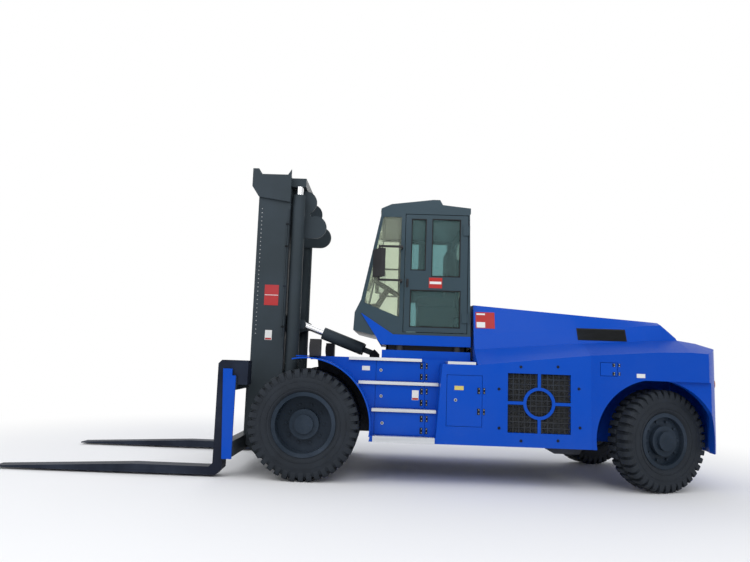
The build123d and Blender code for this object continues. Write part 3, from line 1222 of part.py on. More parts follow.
def screen_slab(front, rear, half_w):
    low, high = SCREEN_SHARES
    corners = [on_screen(low, front), on_screen(high, front), on_screen(high, rear), on_screen(low, rear)]
    return side_plate(corners, -half_w, half_w)


with BuildPart() as cab_shell:
    add(side_plate(cab_outline, -CAB_HALF_W, CAB_HALF_W))
    add(side_frame(cab_outline, CAB_WALL, -WALL_IN_Y, WALL_IN_Y), mode=Mode.SUBTRACT)
    add(screen_slab(CAB_WALL * 2, -CAB_WALL * 2, SCREEN_HALF_W), mode=Mode.SUBTRACT)
    add(block(
        CAB_REAR_X - 10, CAB_REAR_X + 2 * CAB_WALL, -REAR_WINDOW_HALF_W, REAR_WINDOW_HALF_W, *REAR_WINDOW,
    ), mode=Mode.SUBTRACT)
    for y_low, y_high in ((WALL_IN_Y - 1, CAB_HALF_W + 1), (-CAB_HALF_W - 1, -WALL_IN_Y + 1)):
        add(side_plate(quarter_outline, y_low, y_high), mode=Mode.SUBTRACT)
        add(block(
            CAB_DOOR_REAR_X - DOOR_SWING_GAP, CAB_DOOR_FRONT_X + DOOR_SWING_GAP, y_low, y_high,
            CAB_DOOR_LOW_Z - DOOR_SWING_GAP, CAB_DOOR_HIGH_Z + DOOR_SWING_GAP,
        ), mode=Mode.SUBTRACT)
save(cab_shell.part, "cab_shell")

# Fixed panes stand in the middle of the walls that they close.
pane_y = CAB_HALF_W - CAB_WALL / 2
with BuildPart() as cab_glass:
    add(screen_slab(-CAB_WALL / 2, -CAB_WALL / 2 - GLASS_T, SCREEN_HALF_W))
    add(block(
        CAB_REAR_X + CAB_WALL / 2, CAB_REAR_X + CAB_WALL / 2 + GLASS_T,
        -REAR_WINDOW_HALF_W, REAR_WINDOW_HALF_W, *REAR_WINDOW,
    ))
    add(side_plate(quarter_outline, pane_y, pane_y + GLASS_T))
    add(side_plate(quarter_outline, -pane_y - GLASS_T, -pane_y))
save(cab_glass.part, "cab_glass")

# Door windows in the side view: front x, rear x, low z, high z
DOOR_WINDOWS = [
    (FRONT_AXLE_X - 1146, FRONT_AXLE_X - 1325, 2420, 3045),
    (FRONT_AXLE_X - 1392, FRONT_AXLE_X - 1735, 2350, 3050),
    (FRONT_AXLE_X - 1147, FRONT_AXLE_X - 1744, 1745, 2190),
]
CAB_HINGE_R = 11
hinge_y = CAB_HALF_W + CAB_HINGE_R + 2
with BuildPart() as cab_door:
    add(block(
        CAB_DOOR_REAR_X, CAB_DOOR_FRONT_X, CAB_HALF_W - CAB_DOOR_T, CAB_HALF_W, CAB_DOOR_LOW_Z, CAB_DOOR_HIGH_Z,
    ))
    for hinge_z in (CAB_DOOR_LOW_Z + 120, CAB_DOOR_HIGH_Z - 240):
        add(block(
            CAB_DOOR_REAR_X - CAB_HINGE_R, CAB_DOOR_REAR_X + 60, CAB_HALF_W, hinge_y + 2, hinge_z, hinge_z + 120,
        ))
        with BuildSketch(Plane.XY.offset(hinge_z)):
            with Locations((CAB_DOOR_REAR_X - CAB_HINGE_R, hinge_y)):
                Circle(CAB_HINGE_R)
        extrude(amount=120)
    for front_x, rear_x, low, high in DOOR_WINDOWS:
        add(block(rear_x, front_x, CAB_HALF_W - CAB_DOOR_T - 1, CAB_HALF_W + 1, low, high), mode=Mode.SUBTRACT)
with BuildPart() as door_glass:
    for front_x, rear_x, low, high in DOOR_WINDOWS:
        add(block(
            rear_x, front_x, CAB_HALF_W - CAB_DOOR_T / 2 - GLASS_T, CAB_HALF_W - CAB_DOOR_T / 2, low, high,
        ))
both_sides(cab_door.part, "cab_door")
both_sides(door_glass.part, "door_glass")

# The roof has a raised front visor.
roof_outline = [
    (SCREEN_HIGH[0] + 12, CAB_ROOF_Z),
    (SCREEN_HIGH[0] + 8, CAB_ROOF_Z + 35),
    (FRONT_AXLE_X - 900, CAB_ROOF_Z + 92),
    (FRONT_AXLE_X - 1400, CAB_ROOF_Z + 158),
    (FRONT_AXLE_X - 1480, CAB_ROOF_Z + 158),
    (FRONT_AXLE_X - 1514, CAB_ROOF_Z + 98),
    (CAB_REAR_X + 20, CAB_ROOF_Z + 65),
    (CAB_REAR_X + 20, CAB_ROOF_Z),
]
with BuildPart() as cab_roof:
    add(side_plate(roof_outline, -CAB_HALF_W, CAB_HALF_W))
save(cab_roof.part, "cab_roof")

# Inside: a seat on its pedestal, a console with the steering wheel.
INNER_FLOOR_Z = CAB_FLOOR_Z + CAB_WALL
SEAT_X = FRONT_AXLE_X - 1500
SEAT_HALF_W = 260
CUSHION_LOW_Z = 2040
CUSHION_T = 130
BACK_T = 130
BACK_H = 620
SOFT_GAP = FIT
with BuildPart() as seat_base:
    add(block(SEAT_X - 230, SEAT_X + 230, -SEAT_HALF_W + 30, SEAT_HALF_W - 30, INNER_FLOOR_Z, CUSHION_LOW_Z - SOFT_GAP))
    add(block(
        SEAT_X - 290, SEAT_X - 250, -SEAT_HALF_W + 30, SEAT_HALF_W - 30, CUSHION_LOW_Z - 120, CUSHION_LOW_Z + BACK_H,
    ))
    add(block(
        SEAT_X - 290, SEAT_X, -SEAT_HALF_W + 30, SEAT_HALF_W - 30, CUSHION_LOW_Z - 120, CUSHION_LOW_Z - SOFT_GAP,
    ))
save(seat_base.part, "seat_base")
cushion = block(SEAT_X - 240, SEAT_X + 250, -SEAT_HALF_W, SEAT_HALF_W, CUSHION_LOW_Z, CUSHION_LOW_Z + CUSHION_T)
backrest = block(
    SEAT_X - 250 + SOFT_GAP, SEAT_X - 250 + BACK_T, -SEAT_HALF_W, SEAT_HALF_W,
    CUSHION_LOW_Z + CUSHION_T + SOFT_GAP, CUSHION_LOW_Z + CUSHION_T + BACK_H,
)
with BuildPart() as seat_pads:
    add(cushion)
    add(backrest)
save(seat_pads.part, "seat_pads")

CONSOLE_REAR_X = FRONT_AXLE_X - 790
console_outline = [
    (FRONT_AXLE_X - 740, INNER_FLOOR_Z),
    (CAB_NOSE_X - CAB_WALL - 14, CAB_FLOOR_Z + 105),
    (CAB_NOSE_X - CAB_WALL - 20, 1890),
    (FRONT_AXLE_X - 640, 2040),
    (FRONT_AXLE_X - 760, 2060),
    (CONSOLE_REAR_X, 1960),
    (CONSOLE_REAR_X, INNER_FLOOR_Z),
]
WHEEL_RING_R = 190
WHEEL_TUBE_R = 16
COLUMN_R = 38
COLUMN_X = FRONT_AXLE_X - 720
COLUMN_LEAN = 30
COLUMN_LENGTH = 330
column_plane = Plane(
    origin=(COLUMN_X, 0, 1990),
    x_dir=(0, 1, 0),
    z_dir=(-sin(radians(COLUMN_LEAN)), 0, cos(radians(COLUMN_LEAN))),
)
with BuildPart() as console:
    add(side_plate(console_outline, -330, 330))
with BuildPart() as steering:
    with BuildSketch(column_plane):
        Circle(COLUMN_R)
    extrude(amount=COLUMN_LENGTH)
    with BuildSketch(column_plane.offset(COLUMN_LENGTH - WHEEL_TUBE_R)):
        Circle(WHEEL_RING_R + WHEEL_TUBE_R)
        Circle(WHEEL_RING_R - WHEEL_TUBE_R, mode=Mode.SUBTRACT)
        Rectangle(2 * WHEEL_RING_R, 2 * WHEEL_TUBE_R)
    extrude(amount=2 * WHEEL_TUBE_R)
    add(console.part)
save(steering.part, "steering_console")

# A mirror stands off each front pillar on a bent arm.
MIRROR_X = FRONT_AXLE_X - 771
MIRROR_Y = CAB_HALF_W + 140
MIRROR_LOW_Z = 2312
MIRROR_H = 330
MIRROR_W = 190
MIRROR_T = 55
MIRROR_TURN_DEG = 32
ARM_R = 12
ARM_ROOT_X = FRONT_AXLE_X - 1035
ARM_LOW_Z = MIRROR_LOW_Z - 46
ARM_HIGH_Z = MIRROR_LOW_Z + MIRROR_H + 22
with BuildPart() as mirror_left:
    with BuildSketch(Plane.XY.offset(MIRROR_LOW_Z)):
        with Locations((MIRROR_X, MIRROR_Y)):
            Rectangle(MIRROR_T, MIRROR_W, rotation=MIRROR_TURN_DEG)
    extrude(amount=MIRROR_H)
    add(block(MIRROR_X - ARM_R, MIRROR_X + ARM_R, MIRROR_Y - ARM_R, MIRROR_Y + ARM_R, ARM_LOW_Z, ARM_HIGH_Z + 2 * ARM_R))
    for arm_z in (ARM_LOW_Z, ARM_HIGH_Z):
        add(block(ARM_ROOT_X, MIRROR_X, MIRROR_Y - ARM_R, MIRROR_Y + ARM_R, arm_z, arm_z + 2 * ARM_R))
        add(block(ARM_ROOT_X - ARM_R, ARM_ROOT_X + ARM_R, CAB_HALF_W, MIRROR_Y + ARM_R, arm_z, arm_z + 2 * ARM_R))
save_pair(mirror_left.part, "mirrors")

# A head lamp stands on the front of each fender.
LAMP_FRONT_X = FRONT_AXLE_X - 15
LAMP_L = 120
LAMP_Y = 1010
LAMP_HALF_W = 85
LAMP_LOW_Z = 1370
LAMP_HIGH_Z = 1562
LAMP_FOOT_L = 50
fender_top_z = FRONT_TYRE_R + FENDER_OUT_R
with BuildPart() as head_lamp:
    add(block(
        LAMP_FRONT_X - LAMP_L, LAMP_FRONT_X, LAMP_Y - LAMP_HALF_W, LAMP_Y + LAMP_HALF_W, LAMP_LOW_Z, LAMP_HIGH_Z,
    ))
    add(block(
        LAMP_FRONT_X - LAMP_FOOT_L, LAMP_FRONT_X + 5, LAMP_Y - LAMP_HALF_W / 2, LAMP_Y + LAMP_HALF_W / 2,
        fender_top_z + FIT, LAMP_LOW_Z,
    ))
save_pair(head_lamp.part, "head_lamps")
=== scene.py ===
import math

import bpy
from mathutils import Matrix, Vector


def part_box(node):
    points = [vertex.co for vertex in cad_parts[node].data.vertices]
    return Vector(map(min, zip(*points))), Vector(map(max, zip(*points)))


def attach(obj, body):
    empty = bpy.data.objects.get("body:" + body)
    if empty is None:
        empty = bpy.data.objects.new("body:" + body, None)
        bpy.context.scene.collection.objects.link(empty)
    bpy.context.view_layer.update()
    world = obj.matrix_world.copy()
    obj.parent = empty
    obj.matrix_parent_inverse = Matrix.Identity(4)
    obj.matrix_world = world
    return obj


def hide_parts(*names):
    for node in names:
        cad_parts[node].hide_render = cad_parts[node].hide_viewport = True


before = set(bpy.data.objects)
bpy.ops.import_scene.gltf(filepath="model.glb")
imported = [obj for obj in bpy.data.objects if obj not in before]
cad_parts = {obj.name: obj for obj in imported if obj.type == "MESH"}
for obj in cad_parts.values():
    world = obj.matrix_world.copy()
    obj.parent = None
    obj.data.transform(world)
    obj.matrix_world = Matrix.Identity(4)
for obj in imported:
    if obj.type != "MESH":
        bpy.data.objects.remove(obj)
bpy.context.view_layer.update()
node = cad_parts
sides = {"left": 1, "right": -1}

# The camera stands level with the truck's flank, a little to the rear of its middle.
# Its axes and place were solved from the photograph's straight edges and wheel ellipses.
camera_data = bpy.data.cameras.new("view")
camera_data.sensor_fit = "HORIZONTAL"
camera_data.sensor_width = 36
FOCAL_PIXELS, PHOTO_WIDTH = 650.141, 750
camera_data.lens = FOCAL_PIXELS / PHOTO_WIDTH * camera_data.sensor_width
camera = bpy.data.objects.new("view", camera_data)
bpy.context.scene.collection.objects.link(camera)
right = Vector((-0.99927549, -0.01660625, 0.0342451))
up = Vector((0.03201711, 0.11967671, 0.99229652))
forward = Vector((0.02057666, -0.99267402, 0.11905831))
CAMERA_PLACE = (-0.2466, 8.5167, 1.3572)
facing_truck = Matrix((right, up, -forward)).transposed().to_4x4()
camera.matrix_world = Matrix.Translation(CAMERA_PLACE) @ facing_truck
bpy.context.scene.camera = camera
bpy.context.scene.view_settings.view_transform = "Standard"

# A plain pale floor and an even, soft sky with three large lamps.
# The sky shows near white to the camera and in gloss, and lights the truck at a plain level.
world = bpy.data.worlds.new("studio")
bpy.context.scene.world = world
world.use_nodes = True
sky = world.node_tree.nodes["Background"]
sky.inputs["Color"].default_value = (0.93, 0.95, 1.0, 1)
shown_sky = world.node_tree.nodes.new("ShaderNodeBackground")
shown_sky.inputs["Color"].default_value = (1, 1, 1, 1)
shown_sky.inputs["Strength"].default_value = 1.0
sky.inputs["Strength"].default_value = 0.74
ray = world.node_tree.nodes.new("ShaderNodeLightPath")
seen_straight = world.node_tree.nodes.new("ShaderNodeMath")
seen_straight.operation = "MAXIMUM"
seen = world.node_tree.nodes.new("ShaderNodeMath")
seen.operation = "MAXIMUM"
sky_mix = world.node_tree.nodes.new("ShaderNodeMixShader")
world.node_tree.links.new(ray.outputs["Is Camera Ray"], seen_straight.inputs[0])
world.node_tree.links.new(ray.outputs["Is Transmission Ray"], seen_straight.inputs[1])
world.node_tree.links.new(seen_straight.outputs[0], seen.inputs[0])
world.node_tree.links.new(ray.outputs["Is Glossy Ray"], seen.inputs[1])
world.node_tree.links.new(seen.outputs[0], sky_mix.inputs[0])
world.node_tree.links.new(sky.outputs[0], sky_mix.inputs[1])
world.node_tree.links.new(shown_sky.outputs[0], sky_mix.inputs[2])
world.node_tree.links.new(sky_mix.outputs[0], world.node_tree.nodes["World Output"].inputs["Surface"])

lamps = [
    # place, size, watts
    ((-3, 9, 8), 7, 330),
    ((5, 6, 7), 6, 190),
    ((0, -8, 8), 8, 210),
]
for place, size, watts in lamps:
    lamp_data = bpy.data.lights.new("soft_lamp", "AREA")
    lamp_data.size = size
    lamp_data.energy = watts
    lamp = bpy.data.objects.new("soft_lamp", lamp_data)
    lamp.location = place
    lamp.rotation_euler = (Vector((0, 0, 1.2)) - Vector(place)).to_track_quat("-Z", "Y").to_euler()
    bpy.context.scene.collection.objects.link(lamp)

bpy.ops.object.select_all(action="DESELECT")
bpy.ops.mesh.primitive_plane_add(size=120, location=(0, 0, -0.001))
floor = bpy.context.object
floor.name = "studio_floor"
floor_finish = bpy.data.materials.new("pale_floor")
floor_finish.use_nodes = True
floor_tree = floor_finish.node_tree
floor_shader = floor_tree.nodes["Principled BSDF"]
floor_shader.inputs["Base Color"].default_value = (0.88, 0.88, 0.88, 1)
floor_shader.inputs["Roughness"].default_value = 0.9
floor_shader.inputs["Specular IOR Level"].default_value = 0.1
# Away from the truck the floor fades into the white backdrop.
floor_far = floor_tree.nodes.new("ShaderNodeEmission")
floor_far.inputs["Color"].default_value = (1, 1, 1, 1)
floor_reach = floor_tree.nodes.new("ShaderNodeVectorMath")
floor_reach.operation = "LENGTH"
floor_fade = floor_tree.nodes.new("ShaderNodeMapRange")
floor_fade.interpolation_type = "SMOOTHSTEP"
floor_fade.inputs["From Min"].default_value = 3.5
floor_fade.inputs["From Max"].default_value = 8.0
floor_shown = floor_tree.nodes.new("ShaderNodeMixShader")
floor_tree.links.new(floor_tree.nodes.new("ShaderNodeTexCoord").outputs["Object"], floor_reach.inputs[0])
floor_tree.links.new(floor_reach.outputs["Value"], floor_fade.inputs["Value"])
floor_tree.links.new(floor_fade.outputs["Result"], floor_shown.inputs[0])
floor_tree.links.new(floor_shader.outputs[0], floor_shown.inputs[1])
floor_tree.links.new(floor_far.outputs[0], floor_shown.inputs[2])
floor_tree.links.new(floor_shown.outputs[0], floor_tree.nodes["Material Output"].inputs["Surface"])
floor.data.materials.append(floor_finish)


# Paintwork of the whole truck: enamel sprayed over plate and castings.
# It fades a little in cloudy patches, gathers dust near the ground and on tops, and has a fine orange peel.
def group_node(name, inputs, outputs):
    tree = bpy.data.node_groups.new(name, "ShaderNodeTree")
    for label, kind, value in inputs:
        socket = tree.interface.new_socket(label, in_out="INPUT", socket_type=kind)
        socket.default_value = value
    for label, kind in outputs:
        tree.interface.new_socket(label, in_out="OUTPUT", socket_type=kind)
    return tree, tree.nodes.new("NodeGroupInput"), tree.nodes.new("NodeGroupOutput")


def noise_in(tree, source, scale, detail, rough=0.55):
    noise = tree.nodes.new("ShaderNodeTexNoise")
    noise.inputs["Scale"].default_value = scale
    noise.inputs["Detail"].default_value = detail
    noise.inputs["Roughness"].default_value = rough
    tree.links.new(source, noise.inputs["Vector"])
    return noise.outputs["Fac"]


def ranged(tree, source, low, high, to_low, to_high):
    span = tree.nodes.new("ShaderNodeMapRange")
    for label, value in (("From Min", low), ("From Max", high), ("To Min", to_low), ("To Max", to_high)):
        span.inputs[label].default_value = value
    tree.links.new(source, span.inputs["Value"])
    return span.outputs["Result"]


def combined(tree, kind, first, second):
    step = tree.nodes.new("ShaderNodeMath")
    step.operation = kind
    for socket, value in zip(step.inputs, (first, second)):
        if isinstance(value, (int, float)):
            socket.default_value = value
        else:
            tree.links.new(value, socket)
    return step.outputs[0]


def mixed_colour(tree, factor, first, second):
    blend = tree.nodes.new("ShaderNodeMix")
    blend.data_type = "RGBA"
    tree.links.new(factor, blend.inputs["Factor"])
    for socket, value in ((blend.inputs[6], first), (blend.inputs[7], second)):
        if isinstance(value, tuple):
            socket.default_value = value
        else:
            tree.links.new(value, socket)
    return blend.outputs[2]


weathering, use_in, use_out = group_node(
    "weathering",
    [
        ("Paint", "NodeSocketColor", (0.1, 0.1, 0.1, 1)),
        ("Dust Colour", "NodeSocketColor", (0.30, 0.28, 0.25, 1)),
        ("Dust", "NodeSocketFloat", 0.3),
        ("Fade", "NodeSocketFloat", 0.12),
        ("Gloss", "NodeSocketFloat", 0.3),
    ],
    [("Colour", "NodeSocketColor"), ("Roughness", "NodeSocketFloat"), ("Height", "NodeSocketFloat")],
)
coords = weathering.nodes.new("ShaderNodeTexCoord").outputs["Object"]
facing = weathering.nodes.new("ShaderNodeNewGeometry")
split = weathering.nodes.new("ShaderNodeSeparateXYZ")
weathering.links.new(coords, split.inputs[0])
tilt = weathering.nodes.new("ShaderNodeSeparateXYZ")
weathering.links.new(facing.outputs["Normal"], tilt.inputs[0])
cloud = noise_in(weathering, coords, 1.7, 4)
speck = noise_in(weathering, coords, 46, 3, 0.7)
peel = noise_in(weathering, coords, 420, 1)
low_down = ranged(weathering, split.outputs["Z"], 0.25, 1.5, 0.75, 0.08)
on_top = ranged(weathering, tilt.outputs["Z"], 0.55, 1.0, 0.0, 0.75)
settled = combined(weathering, "MAXIMUM", low_down, on_top)
settled = combined(weathering, "MULTIPLY", settled, ranged(weathering, cloud, 0.35, 0.7, 0.3, 1.0))
settled = combined(weathering, "MULTIPLY", settled, ranged(weathering, speck, 0.3, 0.7, 0.55, 1.0))
settled = combined(weathering, "MULTIPLY", settled, use_in.outputs["Dust"])
pale = combined(weathering, "MULTIPLY", ranged(weathering, cloud, 0.4, 0.75, 0, 1), use_in.outputs["Fade"])
faded = mixed_colour(weathering, pale, use_in.outputs["Paint"], (0.20, 0.30, 0.48, 1))
dusty = mixed_colour(weathering, settled, faded, use_in.outputs["Dust Colour"])
matt = combined(weathering, "MULTIPLY", settled, 0.5)
rough = combined(weathering, "ADD", use_in.outputs["Gloss"], matt)
rough = combined(weathering, "ADD", rough, ranged(weathering, speck, 0.3, 0.7, -0.03, 0.03))
weathering.links.new(dusty, use_out.inputs["Colour"])
weathering.links.new(rough, use_out.inputs["Roughness"])
grit = combined(weathering, "MULTIPLY", speck, 2.0)
weathering.links.new(combined(weathering, "ADD", peel, grit), use_out.inputs["Height"])


def sprayed(name, colour, gloss, dust=0.3, fade=0.08, coat=0.0, peel_depth=0.05):
    finish = bpy.data.materials.new(name)
    finish.use_nodes = True
    tree = finish.node_tree
    shader = tree.nodes["Principled BSDF"]
    shader.inputs["Coat Weight"].default_value = coat
    shader.inputs["Specular IOR Level"].default_value = 0.06
    shader.inputs["Coat Roughness"].default_value = 0.12
    coat_of_paint = tree.nodes.new("ShaderNodeGroup")
    coat_of_paint.node_tree = weathering
    coat_of_paint.inputs["Paint"].default_value = (*colour, 1)
    coat_of_paint.inputs["Gloss"].default_value = gloss
    coat_of_paint.inputs["Dust"].default_value = dust
    coat_of_paint.inputs["Fade"].default_value = fade
    bump = tree.nodes.new("ShaderNodeBump")
    bump.inputs["Strength"].default_value = peel_depth
    bump.inputs["Distance"].default_value = 0.004
    tree.links.new(coat_of_paint.outputs["Colour"], shader.inputs["Base Color"])
    tree.links.new(coat_of_paint.outputs["Roughness"], shader.inputs["Roughness"])
    tree.links.new(coat_of_paint.outputs["Height"], bump.inputs["Height"])
    tree.links.new(bump.outputs["Normal"], shader.inputs["Normal"])
    return finish


def dress(finish, *names):
    for name in names:
        node[name].data.materials.clear()
        node[name].data.materials.append(finish)


def both(*stems):
    return [f"{stem}_{side}" for stem in stems for side in sides]


body_blue = sprayed("body_blue_enamel", (0.0005, 0.064, 0.45), 0.30, dust=0.05, fade=0.02, coat=0.06)
cast_blue = sprayed(
    "casting_blue_enamel", (0.0005, 0.058, 0.42), 0.36, dust=0.06, fade=0.02, coat=0.04, peel_depth=0.22,
)
cab_grey = sprayed("cab_dark_enamel", (0.036, 0.060, 0.075), 0.36, dust=0.06, fade=0.02, coat=0.1)
mast_grey = sprayed("mast_dark_enamel", (0.036, 0.047, 0.055), 0.42, dust=0.12, fade=0.03)
frame_black = sprayed("frame_black_enamel", (0.012, 0.015, 0.020), 0.5, dust=0.3)
fork_navy = sprayed("fork_dark_enamel", (0.010, 0.014, 0.026), 0.45, dust=0.08)
rim_navy = sprayed("rim_dark_enamel", (0.012, 0.022, 0.036), 0.4, dust=0.12, coat=0.05)
dress(body_blue, "body_sides", "stair_boxes", "hood", "charging_flap", "carriage_end_plates")
dress(body_blue, *both("service_door", "tier_door_1", "tier_door_2", "tier_door_3"))
dress(cast_blue, "counterweight")
dress(body_blue, "cab_base", "cab_plinth")
dress(cab_grey, "cab_shell", "cab_roof", *both("cab_door"))
dress(mast_grey, "outer_mast", "inner_mast", "lift_barrels", "carriage", *both("tilt_barrel"))
dress(frame_black, "main_frame", "deck", "front_axle", "rear_axle", "belly_pan", "battery_block")
dress(frame_black, "grille_mesh")
dress(frame_black, *both("knuckle"))
dress(fork_navy, *both("fork"))
dress(rim_navy, *both("front_rims", "rear_rim"))


# Bright metal: chromed rods, extruded aluminium treads and oiled chain.
# Rods show fine turning marks, treads a brushed grain with scuffs, and the chain a film of oil and dirt.
def bare_metal(name, colour, rough, stretch, depth):
    finish = bpy.data.materials.new(name)
    finish.use_nodes = True
    tree = finish.node_tree
    shader = tree.nodes["Principled BSDF"]
    shader.inputs["Metallic"].default_value = 1.0
    spread = tree.nodes.new("ShaderNodeMapping")
    spread.inputs["Scale"].default_value = stretch
    tree.links.new(tree.nodes.new("ShaderNodeTexCoord").outputs["Object"], spread.inputs["Vector"])
    grain = noise_in(tree, spread.outputs["Vector"], 9, 5, 0.7)
    dirt = noise_in(tree, spread.outputs["Vector"], 1.2, 4)
    soiled = tuple(part * 0.55 for part in colour)
    shade = mixed_colour(tree, ranged(tree, dirt, 0.35, 0.75, 0, 0.55), (*colour, 1), (*soiled, 1))
    tree.links.new(shade, shader.inputs["Base Color"])
    tree.links.new(ranged(tree, grain, 0.25, 0.75, rough - 0.08, rough + 0.12), shader.inputs["Roughness"])
    bump = tree.nodes.new("ShaderNodeBump")
    bump.inputs["Strength"].default_value = depth
    bump.inputs["Distance"].default_value = 0.002
    tree.links.new(grain, bump.inputs["Height"])
    tree.links.new(bump.outputs["Normal"], shader.inputs["Normal"])
    return finish


rod_chrome = bare_metal("rod_chrome", (0.74, 0.75, 0.77), 0.14, (1, 1, 30), 0.02)
tread_metal = bare_metal("tread_aluminium", (0.66, 0.68, 0.71), 0.36, (1, 12, 12), 0.12)
chain_steel = bare_metal("chain_steel", (0.13, 0.13, 0.135), 0.42, (3, 3, 3), 0.15)
dress(rod_chrome, "lift_rods", *both("tilt_rod"))
dress(tread_metal, "step_treads")
dress(chain_steel, "lift_chains")

# Window glass: flat, faintly green panes, a few millimetres thick, with a film of dust.
# The screens are bonded into the cab shell; the door panes get a darker copy, coloured with painted shade,
# further on.
glass = bpy.data.materials.new("window_glass")
glass.use_nodes = True
glass_shader = glass.node_tree.nodes["Principled BSDF"]
glass_shader.inputs["Transmission Weight"].default_value = 0.9
glass_shader.inputs["IOR"].default_value = 1.1
glass_tree = glass.node_tree
glass_film = noise_in(glass_tree, glass_tree.nodes.new("ShaderNodeTexCoord").outputs["Object"], 3, 4)
glass_tree.links.new(ranged(glass_tree, glass_film, 0.3, 0.8, 0.02, 0.12), glass_shader.inputs["Roughness"])
film_share = ranged(glass_tree, glass_film, 0.3, 0.8, 0, 0.4)
glass_tree.links.new(
    mixed_colour(glass_tree, film_share, (0.76, 0.82, 0.70, 1), (0.66, 0.74, 0.64, 1)),
    glass_shader.inputs["Base Color"],
)
dress(glass, "cab_glass", *both("door_glass"))


# Moulded plastic: the console, mirror housings, lamp housings and seat shell.
# It is injection moulded in the colour, with a fine leather grain.
def moulded(name, colour, rough, grain_size=260, depth=0.12):
    finish = bpy.data.materials.new(name)
    finish.use_nodes = True
    tree = finish.node_tree
    shader = tree.nodes["Principled BSDF"]
    shader.inputs["Specular IOR Level"].default_value = 0.25
    place = tree.nodes.new("ShaderNodeTexCoord").outputs["Object"]
    cells = tree.nodes.new("ShaderNodeTexVoronoi")
    cells.inputs["Scale"].default_value = grain_size
    tree.links.new(place, cells.inputs["Vector"])
    patch = noise_in(tree, place, 5, 4)
    paler = tuple(part * 1.35 + 0.004 for part in colour)
    shade = mixed_colour(tree, ranged(tree, patch, 0.35, 0.7, 0, 1), (*colour, 1), (*paler, 1))
    tree.links.new(shade, shader.inputs["Base Color"])
    tree.links.new(ranged(tree, patch, 0.3, 0.75, rough - 0.06, rough + 0.1), shader.inputs["Roughness"])
    bump = tree.nodes.new("ShaderNodeBump")
    bump.inputs["Strength"].default_value = depth
    bump.inputs["Distance"].default_value = 0.001
    tree.links.new(cells.outputs["Distance"], bump.inputs["Height"])
    tree.links.new(bump.outputs["Normal"], shader.inputs["Normal"])
    return finish


black_plastic = moulded("black_plastic", (0.018, 0.018, 0.020), 0.5)
dress(black_plastic, "steering_console", "mirrors", "seat_base", "cab_mounts", "head_lamps")

# Seat cloth: black woven cloth, sewn over the foam of the cushion and the back.
# The weave is fine and matt.
seat_cloth = moulded("seat_cloth", (0.020, 0.020, 0.023), 0.85, grain_size=700, depth=0.4)
dress(seat_cloth, "seat_pads")

# Tyres: heavy bias-ply rubber, moulded with deep lugs over both shoulders.
# The carcass is one turned ring; the lugs of one shoulder stand half a pitch behind those of the other.
# The front wheels carry two tyres each; the rear ones stand steered, as the truck is parked.
tyre_rubber = moulded("tyre_rubber", (0.013, 0.017, 0.023), 0.75, grain_size=90, depth=0.1)


def turned(outline, steps):
    # A closed outline of (across, radius) turned about the Y axis.
    bpy.ops.object.select_all(action="DESELECT")
    bpy.ops.mesh.primitive_circle_add(vertices=len(outline), radius=1)
    ring = bpy.context.object
    for corner, (across, radius) in zip(ring.data.vertices, outline):
        corner.co = (0, across, radius)
    bpy.ops.object.mode_set(mode="EDIT")
    bpy.ops.mesh.select_all(action="SELECT")
    bpy.ops.mesh.spin(steps=steps, angle=math.tau, center=(0, 0, 0), axis=(0, 1, 0))
    bpy.ops.mesh.select_all(action="SELECT")
    bpy.ops.mesh.remove_doubles(threshold=0.0002)
    bpy.ops.mesh.normals_make_consistent(inside=False)
    bpy.ops.object.mode_set(mode="OBJECT")
    return ring


def copied(piece, matrix):
    other = piece.copy()
    other.data = piece.data.copy()
    other.data.transform(matrix)
    bpy.context.scene.collection.objects.link(other)
    if matrix.determinant() < 0:
        other.data.flip_normals()
    return other


def joined(name, pieces, finish, body):
    bpy.ops.object.select_all(action="DESELECT")
    for piece in pieces:
        piece.select_set(True)
    bpy.context.view_layer.objects.active = pieces[0]
    bpy.ops.object.transform_apply(location=True, rotation=True, scale=True)
    if len(pieces) > 1:
        bpy.ops.object.join()
    whole = bpy.context.object
    whole.name = name
    whole.data.materials.clear()
    whole.data.materials.append(finish)
    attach(whole, body)
    return whole


